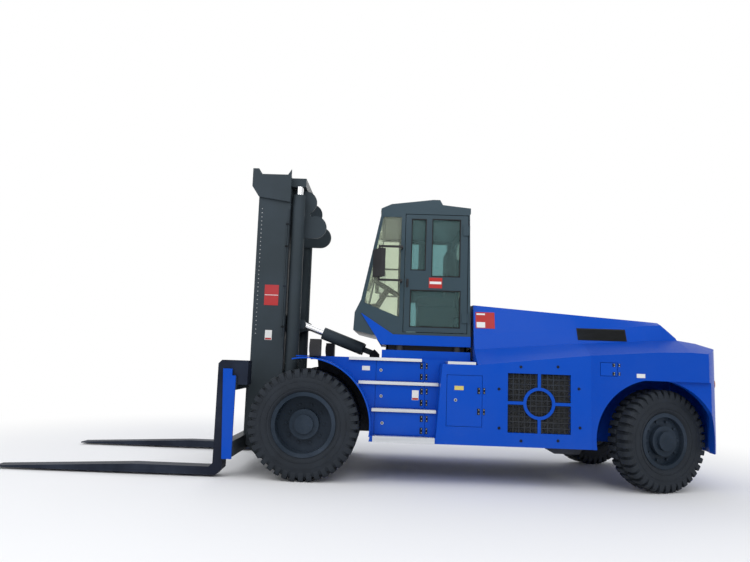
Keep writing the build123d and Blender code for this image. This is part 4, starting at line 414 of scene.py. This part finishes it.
def lugged_tyre(tyre_r, bore_r, lug_count):
    half = 0.1575
    carcass = turned([
        (-0.118, bore_r), (-0.133, bore_r + 0.014), (-0.146, bore_r + 0.026), (-0.155, bore_r + 0.070),
        (-0.153, tyre_r - 0.095), (-0.140, tyre_r - 0.052), (-0.110, tyre_r - 0.033), (0, tyre_r - 0.027),
        (0.110, tyre_r - 0.033), (0.140, tyre_r - 0.052), (0.153, tyre_r - 0.095), (0.155, bore_r + 0.070),
        (0.146, bore_r + 0.026), (0.133, bore_r + 0.014), (0.118, bore_r),
    ], 80)
    # One shoulder lug: its outline across the tread, pulled along the tread to its width
    lug_outline = [
        (0.010, tyre_r - 0.036), (0.014, tyre_r - 0.003), (0.120, tyre_r), (0.146, tyre_r - 0.012),
        (half, tyre_r - 0.038), (half + 0.0005, tyre_r - 0.088), (0.150, tyre_r - 0.104),
        (0.125, tyre_r - 0.060),
    ]
    lug_w = 0.58 * math.tau * tyre_r / lug_count
    bpy.ops.object.select_all(action="DESELECT")
    bpy.ops.mesh.primitive_circle_add(vertices=len(lug_outline), radius=1, fill_type="NGON")
    lugs = bpy.context.object
    for corner, (across, radius) in zip(lugs.data.vertices, lug_outline):
        corner.co = (-lug_w / 2, across, radius)
    bpy.ops.object.mode_set(mode="EDIT")
    bpy.ops.mesh.select_all(action="SELECT")
    bpy.ops.mesh.extrude_region_move(TRANSFORM_OT_translate={"value": (lug_w, 0, 0)})
    bpy.ops.mesh.select_all(action="SELECT")
    bpy.ops.mesh.normals_make_consistent(inside=False)
    bpy.ops.mesh.bevel(offset=0.003, segments=1, affect="EDGES")
    bpy.ops.mesh.select_all(action="SELECT")
    bpy.ops.mesh.spin(
        steps=lug_count - 1, dupli=True, angle=math.tau * (lug_count - 1) / lug_count,
        center=(0, 0, 0), axis=(0, 1, 0),
    )
    bpy.ops.object.mode_set(mode="OBJECT")
    half_pitch = Matrix.Rotation(math.pi / lug_count, 4, "Y")
    other_lugs = copied(lugs, half_pitch @ Matrix.Scale(-1, 4, (0, 1, 0)))
    # Two moulded rings run round each sidewall
    beads = []
    for sign in (-1, 1):
        for bead_r in (bore_r + 0.052, bore_r + 0.118):
            beads.append(turned([
                (sign * 0.151, bead_r - 0.006), (sign * 0.1575, bead_r - 0.003),
                (sign * 0.1575, bead_r + 0.003), (sign * 0.151, bead_r + 0.006),
            ], 64))
    return [carcass, lugs, other_lugs, *beads]


TYRE_SETS = [
    # stem, centre x, kingpin or wheel y, tyre radius, bore radius, steered, offsets from that y, lugs
    ("front_tyres", 0.640, 0.0, 0.6125, 0.3575, 0.0, (0.762, 1.122), 40),
    ("rear_tyre", -3.240, 0.760, 0.5625, 0.3075, 20.0, (0.240,), 38),
]
for stem, centre_x, pin_y, tyre_r, bore_r, steered, offsets, lug_count in TYRE_SETS:
    pattern = lugged_tyre(tyre_r, bore_r, lug_count)
    for side, sign in sides.items():
        steer_turn = Matrix.Rotation(math.radians(steered), 4, "Z")
        wheel_place = Matrix.Translation((centre_x, sign * pin_y, tyre_r)) @ steer_turn
        placed = []
        for offset in offsets:
            tyre_place = wheel_place @ Matrix.Translation((0, sign * offset, 0))
            placed += [copied(part, tyre_place) for part in pattern]
        body = f"wheels_front_{side}" if stem == "front_tyres" else f"wheel_rear_{side}"
        tyre = joined(f"lugged_{stem}_{side}", placed, tyre_rubber, body)
        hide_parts(f"{stem}_{side}")
        bpy.ops.object.shade_smooth_by_angle(angle=math.radians(28))
    for part in pattern:
        bpy.data.objects.remove(part)

# The flush doors' hinges and locks: black pressed leaves with bright screws, and a round cam lock.
# One leaf is screwed to the door and swings with it, the other to the body behind the door's edge.
hinge_black = sprayed("hinge_black_enamel", (0.010, 0.011, 0.012), 0.45, dust=0.05)
screw_zinc = bare_metal("screw_zinc", (0.55, 0.56, 0.58), 0.3, (20, 20, 20), 0.03)
to_right = Matrix.Scale(-1, 4, (0, 1, 0))


def edged(piece, edge):
    bpy.ops.object.transform_apply(location=True, rotation=True, scale=True)
    bpy.ops.object.mode_set(mode="EDIT")
    bpy.ops.mesh.select_all(action="SELECT")
    bpy.ops.mesh.bevel(offset=edge, segments=1, affect="EDGES")
    bpy.ops.object.mode_set(mode="OBJECT")
    return piece


def slab(low, high, edge=0.0015):
    bpy.ops.object.select_all(action="DESELECT")
    bpy.ops.mesh.primitive_cube_add(size=1, location=[(a + b) / 2 for a, b in zip(low, high)])
    bpy.context.object.scale = [b - a for a, b in zip(low, high)]
    return edged(bpy.context.object, edge)


def button(centre, radius, depth, corners=14, edge=0.001, axis="Y"):
    turn = {"X": (0, math.pi / 2, 0), "Y": (math.pi / 2, 0, 0), "Z": (0, 0, 0)}[axis]
    bpy.ops.object.select_all(action="DESELECT")
    bpy.ops.mesh.primitive_cylinder_add(
        vertices=corners, radius=radius, depth=depth, location=centre, rotation=turn,
    )
    return edged(bpy.context.object, edge)


def on_both_sides(name, pieces, finish, body):
    whole = []
    for side, matrix in (("left", Matrix.Identity(4)), ("right", to_right)):
        placed = [copied(piece, matrix) for piece in pieces]
        whole.append(joined(f"{name}_{side}", placed, finish, body.format(side=side)))
    for piece in pieces:
        bpy.data.objects.remove(piece)
    return whole


LEAF_REACH = 0.044
LEAF_T = 0.003
SCREW_R = 0.005
HINGES = [
    # door, hinge axis x, heights of its hinges, half a leaf's height, lock x and z
    ("tier_door_1", -0.690, (0.714, 0.583), 0.034, (-0.226, 0.653)),
    ("tier_door_2", -0.690, (1.010, 0.882), 0.034, (-0.205, 0.943)),
    ("tier_door_3", -0.690, (1.296, 1.170), 0.034, (-0.194, 1.233)),
    ("service_door", -1.308, (1.048, 0.821), 0.034, (-1.026, 0.940)),
    ("charging_flap", -2.788, (1.379, 1.285), 0.018, None),
]
for door, axis_x, heights, half_h, lock in HINGES:
    paired = door != "charging_flap"
    face_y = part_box(f"{door}_left" if paired else door)[1][1]
    leaves, fixed_leaves, screws, fixed_screws = [], [], [], []
    for z in heights:
        leaves.append(slab(
            (axis_x + 0.0135, face_y - 0.001, z - half_h), (axis_x + LEAF_REACH, face_y + LEAF_T, z + half_h),
        ))
        leaves.append(slab(
            (axis_x + 0.036, face_y, z - half_h),
            (axis_x + LEAF_REACH, face_y + 1.5 * LEAF_T, z + half_h), 0.001,
        ))
        fixed_leaves.append(slab(
            (axis_x - 0.042, face_y - 0.001, z - half_h), (axis_x - 0.0195, face_y + LEAF_T, z + half_h),
        ))
        for level in (z - 0.6 * half_h, z + 0.6 * half_h):
            screws.append(button((axis_x + 0.025, face_y + 0.8 * LEAF_T, level), SCREW_R, 0.003))
            fixed_screws.append(button((axis_x - 0.031, face_y + LEAF_T, level), SCREW_R, 0.003))
    door_body = door + "_{side}" if paired else door
    if paired:
        on_both_sides(f"{door}_hinge_leaf", leaves, hinge_black, door_body)
        on_both_sides(f"{door}_fixed_leaf", fixed_leaves, hinge_black, "chassis")
        on_both_sides(f"{door}_leaf_screws", screws, screw_zinc, door_body)
        on_both_sides(f"{door}_fixed_screws", fixed_screws, screw_zinc, "chassis")
        lock_ring = button((lock[0], face_y + 0.002, lock[1]), 0.018, 0.008, 28, 0.002)
        lock_core = button((lock[0], face_y + 0.004, lock[1]), 0.010, 0.007, 20, 0.001)
        on_both_sides(f"{door}_lock_ring", [lock_ring], screw_zinc, door_body)
        on_both_sides(f"{door}_lock_core", [lock_core], hinge_black, door_body)
    else:
        joined(f"{door}_hinge_leaf", leaves, hinge_black, door_body)
        joined(f"{door}_fixed_leaf", fixed_leaves, hinge_black, "chassis")
        joined(f"{door}_leaf_screws", screws, screw_zinc, door_body)
        joined(f"{door}_fixed_screws", fixed_screws, screw_zinc, "chassis")

# Side grilles: behind the wire mesh stands a dark finned cooler core, bolted to the recess.
# Its fins are thin upright strips; a finer mesh of welded wire is laid behind the coarse one.
core_black = moulded("core_black", (0.006, 0.007, 0.008), 0.7, grain_size=120)
wire_steel = bare_metal("mesh_wire", (0.10, 0.105, 0.11), 0.45, (10, 10, 10), 0.05)
(grille_rear, _, grille_low), (grille_front, grille_y, grille_high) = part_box("grille_mesh")
CORE_Y = 1.132
FIN_PITCH = 0.016
core = [slab(
    (grille_rear + 0.001, CORE_Y, grille_low + 0.001),
    (grille_front - 0.001, CORE_Y + 0.02, grille_high - 0.001),
)]
for count in range(1, int((grille_front - grille_rear) / FIN_PITCH)):
    fin_x = grille_rear + count * FIN_PITCH
    core.append(slab(
        (fin_x, CORE_Y + 0.019, grille_low + 0.004), (fin_x + 0.004, CORE_Y + 0.05, grille_high - 0.004),
        0.0005,
    ))
on_both_sides("cooler_core", core, core_black, "chassis")
WIRE_PITCH, WIRE_R = 0.0125, 0.0012
wires = []
middle_x, middle_z = (grille_rear + grille_front) / 2, (grille_low + grille_high) / 2
for count in range(1, int((grille_front - grille_rear) / WIRE_PITCH)):
    place = (grille_rear + count * WIRE_PITCH, grille_y - 0.006, middle_z)
    wires.append(button(place, WIRE_R, grille_high - grille_low - 0.004, 5, 0.0001, "Z"))
for count in range(1, int((grille_high - grille_low) / WIRE_PITCH)):
    place = (middle_x, grille_y - 0.0045, grille_low + count * WIRE_PITCH)
    wires.append(button(place, WIRE_R, grille_front - grille_rear - 0.004, 5, 0.0001, "X"))
on_both_sides("fine_mesh", wires, wire_steel, "chassis")

# Bolt heads: black hexagon bolts, each on its washer, that hold the grille frames.
# They stand on the side wall round each grille.
BOLT_R = 0.011
GRILLE_BOLTS = [
    (-2.376, 1.107), (-2.386, 0.687), (-1.501, 1.076), (-1.506, 0.655),
    (-1.740, 1.325), (-2.147, 1.339), (-1.746, 0.525), (-2.147, 0.540),
]
wall_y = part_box("body_sides")[1][1]
bolts = [button((x, wall_y + 0.003, z), BOLT_R, 0.008, 6) for x, z in GRILLE_BOLTS]
bolts += [button((x, wall_y + 0.0005, z), BOLT_R * 1.5, 0.003, 18, 0.0005) for x, z in GRILLE_BOLTS]
on_both_sides("grille_bolts", bolts, hinge_black, "chassis")

# The seat: a shaped foam cushion and back under black woven cloth, with two sewn channels down each.
# The foam is swollen from the plain blocks, then the channels are drawn in.
bpy.ops.object.select_all(action="DESELECT")
cushion = node["seat_pads"].copy()
cushion.data = node["seat_pads"].data.copy()
bpy.context.scene.collection.objects.link(cushion)
cushion.name = "seat_cushions"
cushion.select_set(True)
bpy.context.view_layer.objects.active = cushion
bpy.ops.object.mode_set(mode="EDIT")
bpy.ops.mesh.select_all(action="SELECT")
bpy.ops.mesh.remove_doubles(threshold=0.0002)
bpy.ops.mesh.normals_make_consistent(inside=False)
bpy.ops.object.mode_set(mode="OBJECT")
CUSHION_VOXEL = 0.010
cushion.data.remesh_voxel_size = CUSHION_VOXEL
bpy.ops.object.voxel_remesh()
outward = [corner.normal.copy() for corner in cushion.data.vertices]
for corner, normal in zip(cushion.data.vertices, outward):
    corner.co -= normal * 0.012
start = [corner.co.copy() for corner in cushion.data.vertices]
foam = cushion.modifiers.new("foam", "CLOTH")
foam.settings.use_pressure = True
foam.settings.uniform_pressure_force = 4
foam.settings.effector_weights.gravity = 0
for step in range(1, 21):
    bpy.context.scene.frame_set(step)
swollen = cushion.evaluated_get(bpy.context.evaluated_depsgraph_get())
ends = [corner.co.copy() for corner in swollen.data.vertices]
cushion.modifiers.remove(foam)
bpy.context.scene.frame_set(1)
MOST_SWELL = 0.014
for corner, first, last in zip(cushion.data.vertices, start, ends):
    step = last - first
    corner.co = first + step * min(1, MOST_SWELL / max(step.length, 1e-6))
bpy.context.view_layer.objects.active = cushion
cushion.select_set(True)
rounding = cushion.modifiers.new("rounding", "SUBSURF")
rounding.levels = rounding.render_levels = 1
bpy.ops.object.modifier_apply(modifier="rounding")
CHANNEL_Y, CHANNEL_W, CHANNEL_DEPTH = 0.15, 0.008, 0.007
outward = [corner.normal.copy() for corner in cushion.data.vertices]
for corner, normal in zip(cushion.data.vertices, outward):
    from_seam = (abs(corner.co.y) - CHANNEL_Y) / CHANNEL_W
    corner.co -= normal * CHANNEL_DEPTH * math.exp(-from_seam * from_seam)
bpy.ops.object.shade_smooth()
cushion.data.materials.clear()
cushion.data.materials.append(seat_cloth)
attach(cushion, "chassis")
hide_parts("seat_pads")

# Cab door glass: darker and bluer than the screens; this darker colour is painted shade, not a tint of the
# glass.
# It is the same flat glass, held in the doors' frames by rubber.
shaded_door_glass = glass.copy()
shaded_door_glass.name = "door_glass_painted_shade"
# The two film colours set below are the screens' colours darkened as painted shade.
for step in shaded_door_glass.node_tree.nodes:
    if step.type == "MIX":
        step.inputs[6].default_value = (0.36, 0.54, 0.54, 1)
        step.inputs[7].default_value = (0.30, 0.47, 0.48, 1)
dress(shaded_door_glass, *both("door_glass"))

# The rubber strip between the cab's base and its plinth: dark, set back, and closed all round.
# It stands on the base's top and is pressed under the plinth.
seal_rubber = moulded("seal_rubber", (0.010, 0.010, 0.011), 0.7, grain_size=150)
(base_rear, _, _), (base_front, base_y, base_top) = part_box("cab_base")
plinth_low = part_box("cab_plinth")[0][2]
SEAL_IN = 0.06
SEAL_W = 0.03
seal_rear, seal_front, seal_y = base_rear + 0.04, base_front - 0.045, base_y - SEAL_IN
cab_seal = [
    slab((seal_rear, seal_y - SEAL_W, base_top), (seal_front, seal_y, plinth_low)),
    slab((seal_rear, 0, base_top), (seal_rear + SEAL_W, seal_y, plinth_low)),
    slab((seal_front - SEAL_W, 0, base_top), (seal_front, seal_y, plinth_low)),
]
on_both_sides("cab_seal", cab_seal, seal_rubber, "chassis")

# Cab door fittings: a rubber seal round each pane, and a grab handle at the front edge.
# They are fixed to the door and swing with it.
door_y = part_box("cab_door_left")[1][1] - 0.024
DOOR_PANES = [
    # rear x, front x, low z, high z
    (-0.685, -0.506, 2.420, 3.045),
    (-1.095, -0.752, 2.350, 3.050),
    (-1.104, -0.507, 1.745, 2.190),
]
PANE_SEAL_W = 0.012
pane_seals = []
for rear, front, low, high in DOOR_PANES:
    pane_seals.append(slab((rear, door_y - 0.022, low), (rear + PANE_SEAL_W, door_y + 0.003, high), 0.002))
    pane_seals.append(slab((front - PANE_SEAL_W, door_y - 0.022, low), (front, door_y + 0.003, high), 0.002))
    pane_seals.append(slab((rear, door_y - 0.022, low), (front, door_y + 0.003, low + PANE_SEAL_W), 0.002))
    pane_seals.append(slab((rear, door_y - 0.022, high - PANE_SEAL_W), (front, door_y + 0.003, high), 0.002))
on_both_sides("pane_seals", pane_seals, seal_rubber, "cab_door_{side}")
HANDLE_X, HANDLE_LOW, HANDLE_HIGH = -0.472, 2.215, 2.315
handle = [
    slab(
        (HANDLE_X - 0.014, door_y - 0.001, HANDLE_LOW), (HANDLE_X + 0.014, door_y + 0.006, HANDLE_HIGH),
        0.002,
    ),
    slab(
        (HANDLE_X - 0.008, door_y + 0.004, HANDLE_LOW + 0.012),
        (HANDLE_X + 0.008, door_y + 0.022, HANDLE_HIGH - 0.02), 0.005,
    ),
    button((HANDLE_X, door_y + 0.008, HANDLE_HIGH - 0.01), 0.008, 0.010),
]
on_both_sides("door_handle", handle, black_plastic, "cab_door_{side}")

# Blank plates: thin enamelled or printed metal with no wording, held by their glue.
# Each is laid on the surface under it, so it follows a slope.
def laid(on, rear, front, low, high, thick=0.0015, columns=4, rows=4):
    bpy.ops.object.select_all(action="DESELECT")
    bpy.ops.mesh.primitive_grid_add(x_subdivisions=columns, y_subdivisions=rows, size=1)
    plate = bpy.context.object
    for corner in plate.data.vertices:
        x = rear + (corner.co.x + 0.5) * (front - rear)
        z = low + (corner.co.y + 0.5) * (high - low)
        _, place, normal, _ = node[on].ray_cast((x, 3, z), (0, -1, 0))
        corner.co = place + normal * thick
    thickness = plate.modifiers.new("thickness", "SOLIDIFY")
    thickness.thickness = 2 * thick
    thickness.offset = 0
    bpy.ops.object.modifier_apply(modifier="thickness")
    bpy.ops.object.mode_set(mode="EDIT")
    bpy.ops.mesh.select_all(action="SELECT")
    bpy.ops.mesh.normals_make_consistent(inside=False)
    bpy.ops.object.mode_set(mode="OBJECT")
    return plate


plate_red = sprayed("plate_red", (0.42, 0.035, 0.030), 0.35, dust=0.05)
plate_white = sprayed("plate_white", (0.72, 0.72, 0.70), 0.35, dust=0.05)
plate_yellow = sprayed("plate_yellow", (0.62, 0.50, 0.14), 0.4, dust=0.05)
PLATES = [
    # name, what it lies on, finish, rear x, front x, low z, high z, lift, body
    ("hood_plate", "hood", plate_red, -1.513, -1.290, 1.757, 1.950, 0.0015, "chassis"),
    ("hood_plate_bar", "hood", plate_white, -1.400, -1.300, 1.765, 1.830, 0.0025, "chassis"),
    ("hood_plate_strip", "hood", plate_white, -1.400, -1.300, 1.915, 1.935, 0.0025, "chassis"),
    (
        "cab_door_plate", "cab_door_left", plate_red,
        -0.884, -0.727, 2.214, 2.338, 0.0015, "cab_door_left",
    ),
    (
        "cab_door_plate_bar", "cab_door_left", plate_white,
        -0.874, -0.737, 2.262, 2.292, 0.0025, "cab_door_left",
    ),
    ("mast_plate", "outer_mast", plate_red, 1.103, 1.277, 1.971, 2.224, 0.0015, "mast_outer"),
    ("mast_plate_bar", "outer_mast", plate_white, 1.107, 1.273, 2.094, 2.101, 0.0025, "mast_outer"),
    ("mast_sticker", "outer_mast", plate_white, 1.160, 1.245, 1.545, 1.665, 0.0015, "mast_outer"),
    (
        "mast_sticker_strip", "outer_mast", plate_red,
        1.166, 1.239, 1.550, 1.570, 0.0025, "mast_outer",
    ),
    ("tier_3_sticker", "stair_boxes", plate_white, -0.065, 0.025, 1.225, 1.275, 0.0012, "chassis"),
    (
        "tier_2_sticker", "tier_door_2_left", plate_white,
        -0.630, -0.555, 0.910, 1.020, 0.0012, "tier_door_2_left",
    ),
    (
        "tier_2_strip", "tier_door_2_left", plate_red,
        -0.626, -0.559, 0.914, 0.934, 0.0022, "tier_door_2_left",
    ),
    (
        "service_sticker", "service_door_left", plate_yellow,
        -1.112, -1.012, 1.050, 1.095, 0.0012, "service_door_left",
    ),
    ("wall_sticker", "counterweight", plate_white, -3.100, -3.008, 1.250, 1.294, 0.0012, "chassis"),
]
for name, on, finish, rear, front, low, high, lift, body in PLATES:
    joined(name, [laid(on, rear, front, low, high, lift)], finish, body)

# Hood side vents: a near-black panel low on each flank, painted shade for the hollow of the slot, with rows
# of pressed louvres.
# It is laid in the hood's sloping side, so it follows that slope.
VENT_REAR, VENT_FRONT, VENT_LOW, VENT_HIGH = -3.02, -2.46, 1.655, 1.795
LOUVRE_PITCH = 0.014
# The near-black colour of this panel is painted shade of the slot's hollow behind the louvres.
vent = [laid("hood", VENT_REAR, VENT_FRONT, VENT_LOW, VENT_HIGH, 0.002, 8, 6)]
on_both_sides("hood_vent_shade_panel", vent, core_black, "chassis")
louvres = []
for count in range(int((VENT_HIGH - VENT_LOW) / LOUVRE_PITCH)):
    louvre_z = VENT_LOW + (count + 0.35) * LOUVRE_PITCH
    louvres.append(laid(
        "hood", VENT_REAR + 0.01, VENT_FRONT - 0.01, louvre_z, louvre_z + 0.005, 0.0045, 8, 1,
    ))
on_both_sides("hood_louvres", louvres, hinge_black, "chassis")

# Anti-slip teeth of the treads: rows of small pressed studs along each silver tread's outer edge.
# They are punched up out of the tread plate, so they have its bare metal.
STUD_PITCH = 0.018
STUD_R = 0.0042
TREADS = [
    # y of the outer row, height of the tread's top
    (1.236, 0.524),
    (1.126, 0.814),
    (1.016, 1.109),
]
stud_rows = []
for stud_y, tread_z in TREADS:
    found = []
    for count in range(140):
        x = -0.90 + count * 0.01
        hit, place, _, _ = node["step_treads"].ray_cast((x, stud_y, tread_z + 0.05), (0, 0, -1))
        if hit and abs(place.z - tread_z) < 0.004:
            found.append((x, place.z))
    if not found:
        continue
    (tread_rear, stud_top), (tread_front, _) = found[0], found[-1]
    stud = button((tread_rear + 0.012, stud_y, stud_top + 0.001), STUD_R, 0.007, 6, 0.0012, "Z")
    along = int((tread_front - tread_rear - 0.02) / STUD_PITCH)
    for axis, pitch, amount in ((0, STUD_PITCH, along), (1, 0.020, 2)):
        row = stud.modifiers.new("row", "ARRAY")
        row.use_relative_offset = False
        row.use_constant_offset = True
        row.constant_offset_displace = [pitch if way == axis else 0 for way in range(3)]
        row.count = max(1, amount)
        bpy.context.view_layer.objects.active = stud
        bpy.ops.object.modifier_apply(modifier="row")
    stud_rows.append(stud)
if stud_rows:
    on_both_sides("tread_studs", stud_rows, tread_metal, "chassis")

# Mast fittings: a row of bolt heads up the channel's front edge, and two hydraulic pipes up its side.
# The bolts hold the slide strips; the pipes are steel tube in clips.
mast_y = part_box("outer_mast")[1][1]
ROW_X, ROW_LOW, ROW_HIGH, ROW_PITCH = 1.362, 1.62, 3.28, 0.052
mast_bolt = button((ROW_X, mast_y + 0.001, ROW_LOW), 0.006, 0.006, 6, 0.001)
row = mast_bolt.modifiers.new("row", "ARRAY")
row.use_relative_offset = False
row.use_constant_offset = True
row.constant_offset_displace = (0, 0, ROW_PITCH)
row.count = int((ROW_HIGH - ROW_LOW) / ROW_PITCH)
bpy.ops.object.modifier_apply(modifier="row")
on_both_sides("slide_strip_bolts", [mast_bolt], screw_zinc, "mast_outer")
PIPE_R = 0.007
PIPES = [
    # x, low z, high z
    (1.022, 1.45, 3.18),
    (1.040, 1.60, 3.02),
]
pipes, clips = [], []
for pipe_x, pipe_low, pipe_high in PIPES:
    middle = (pipe_x, mast_y + PIPE_R + 0.003, (pipe_low + pipe_high) / 2)
    pipes.append(button(middle, PIPE_R, pipe_high - pipe_low, 12, 0.001, "Z"))
for clip_z in (1.70, 2.20, 2.70, 2.98):
    clips.append(slab((1.012, mast_y - 0.001, clip_z), (1.052, mast_y + 0.021, clip_z + 0.022), 0.003))
on_both_sides("mast_pipes", pipes, mast_grey, "mast_outer")
on_both_sides("mast_pipe_clips", clips, hinge_black, "mast_outer")

# Mirror glass: a silvered pane let into the rear face of each housing.
# It is turned outwards with the housing.
mirror_silver = bare_metal("mirror_silver", (0.80, 0.82, 0.84), 0.10, (1, 1, 1), 0.0)
MIRROR_PLACE, MIRROR_TURN = (-0.131, 0.99, 2.477), math.radians(32)
pane = slab((-0.0300, -0.083, -0.150), (-0.0265, 0.083, 0.150), 0.001)
turn_out = Matrix.Translation(MIRROR_PLACE) @ Matrix.Rotation(MIRROR_TURN, 4, "Z")
turned_pane = copied(pane, turn_out)
bpy.data.objects.remove(pane)
on_both_sides("mirror_pane", [turned_pane], mirror_silver, "chassis")

# Lamps: round lenses in black bezels, clear on the fenders, red and amber on the counterweight.
# Each lens is moulded plastic, pressed into its bezel.
clear_lens = moulded("clear_lens", (0.70, 0.72, 0.74), 0.15, grain_size=60, depth=0.2)
red_lens = moulded("red_lens", (0.45, 0.012, 0.010), 0.15, grain_size=60, depth=0.2)
amber_lens = moulded("amber_lens", (0.70, 0.22, 0.01), 0.15, grain_size=60, depth=0.2)
lamp_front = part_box("head_lamps")[1][0] - 0.005
LAMP_Y, LAMP_Z = 1.010, 1.466
head_bezel = button((lamp_front, LAMP_Y, LAMP_Z), 0.076, 0.012, 36, 0.003, "X")
on_both_sides("head_lamp_bezel", [head_bezel], black_plastic, "chassis")
head_lens = button((lamp_front + 0.004, LAMP_Y, LAMP_Z), 0.064, 0.014, 36, 0.004, "X")
on_both_sides("head_lamp_lens", [head_lens], clear_lens, "chassis")
for lamp_name, lamp_y, lens_finish in (("tail_lamp", 0.62, red_lens), ("turn_lamp", 0.76, amber_lens)):
    _, tail_place, tail_normal, _ = node["counterweight"].ray_cast((-5, lamp_y, 1.20), (1, 0, 0))
    aim = Vector((-1, 0, 0)).rotation_difference(tail_normal).to_matrix().to_4x4()
    bezel = button((0, 0, 0), 0.055, 0.024, 32, 0.003, "X")
    lens = button((-0.012, 0, 0), 0.045, 0.014, 32, 0.004, "X")
    tail_matrix = Matrix.Translation(tail_place) @ aim
    placed_bezel, placed_lens = copied(bezel, tail_matrix), copied(lens, tail_matrix)
    bpy.data.objects.remove(bezel)
    bpy.data.objects.remove(lens)
    on_both_sides(f"{lamp_name}_bezel", [placed_bezel], black_plastic, "chassis")
    on_both_sides(f"{lamp_name}_lens", [placed_lens], lens_finish, "chassis")
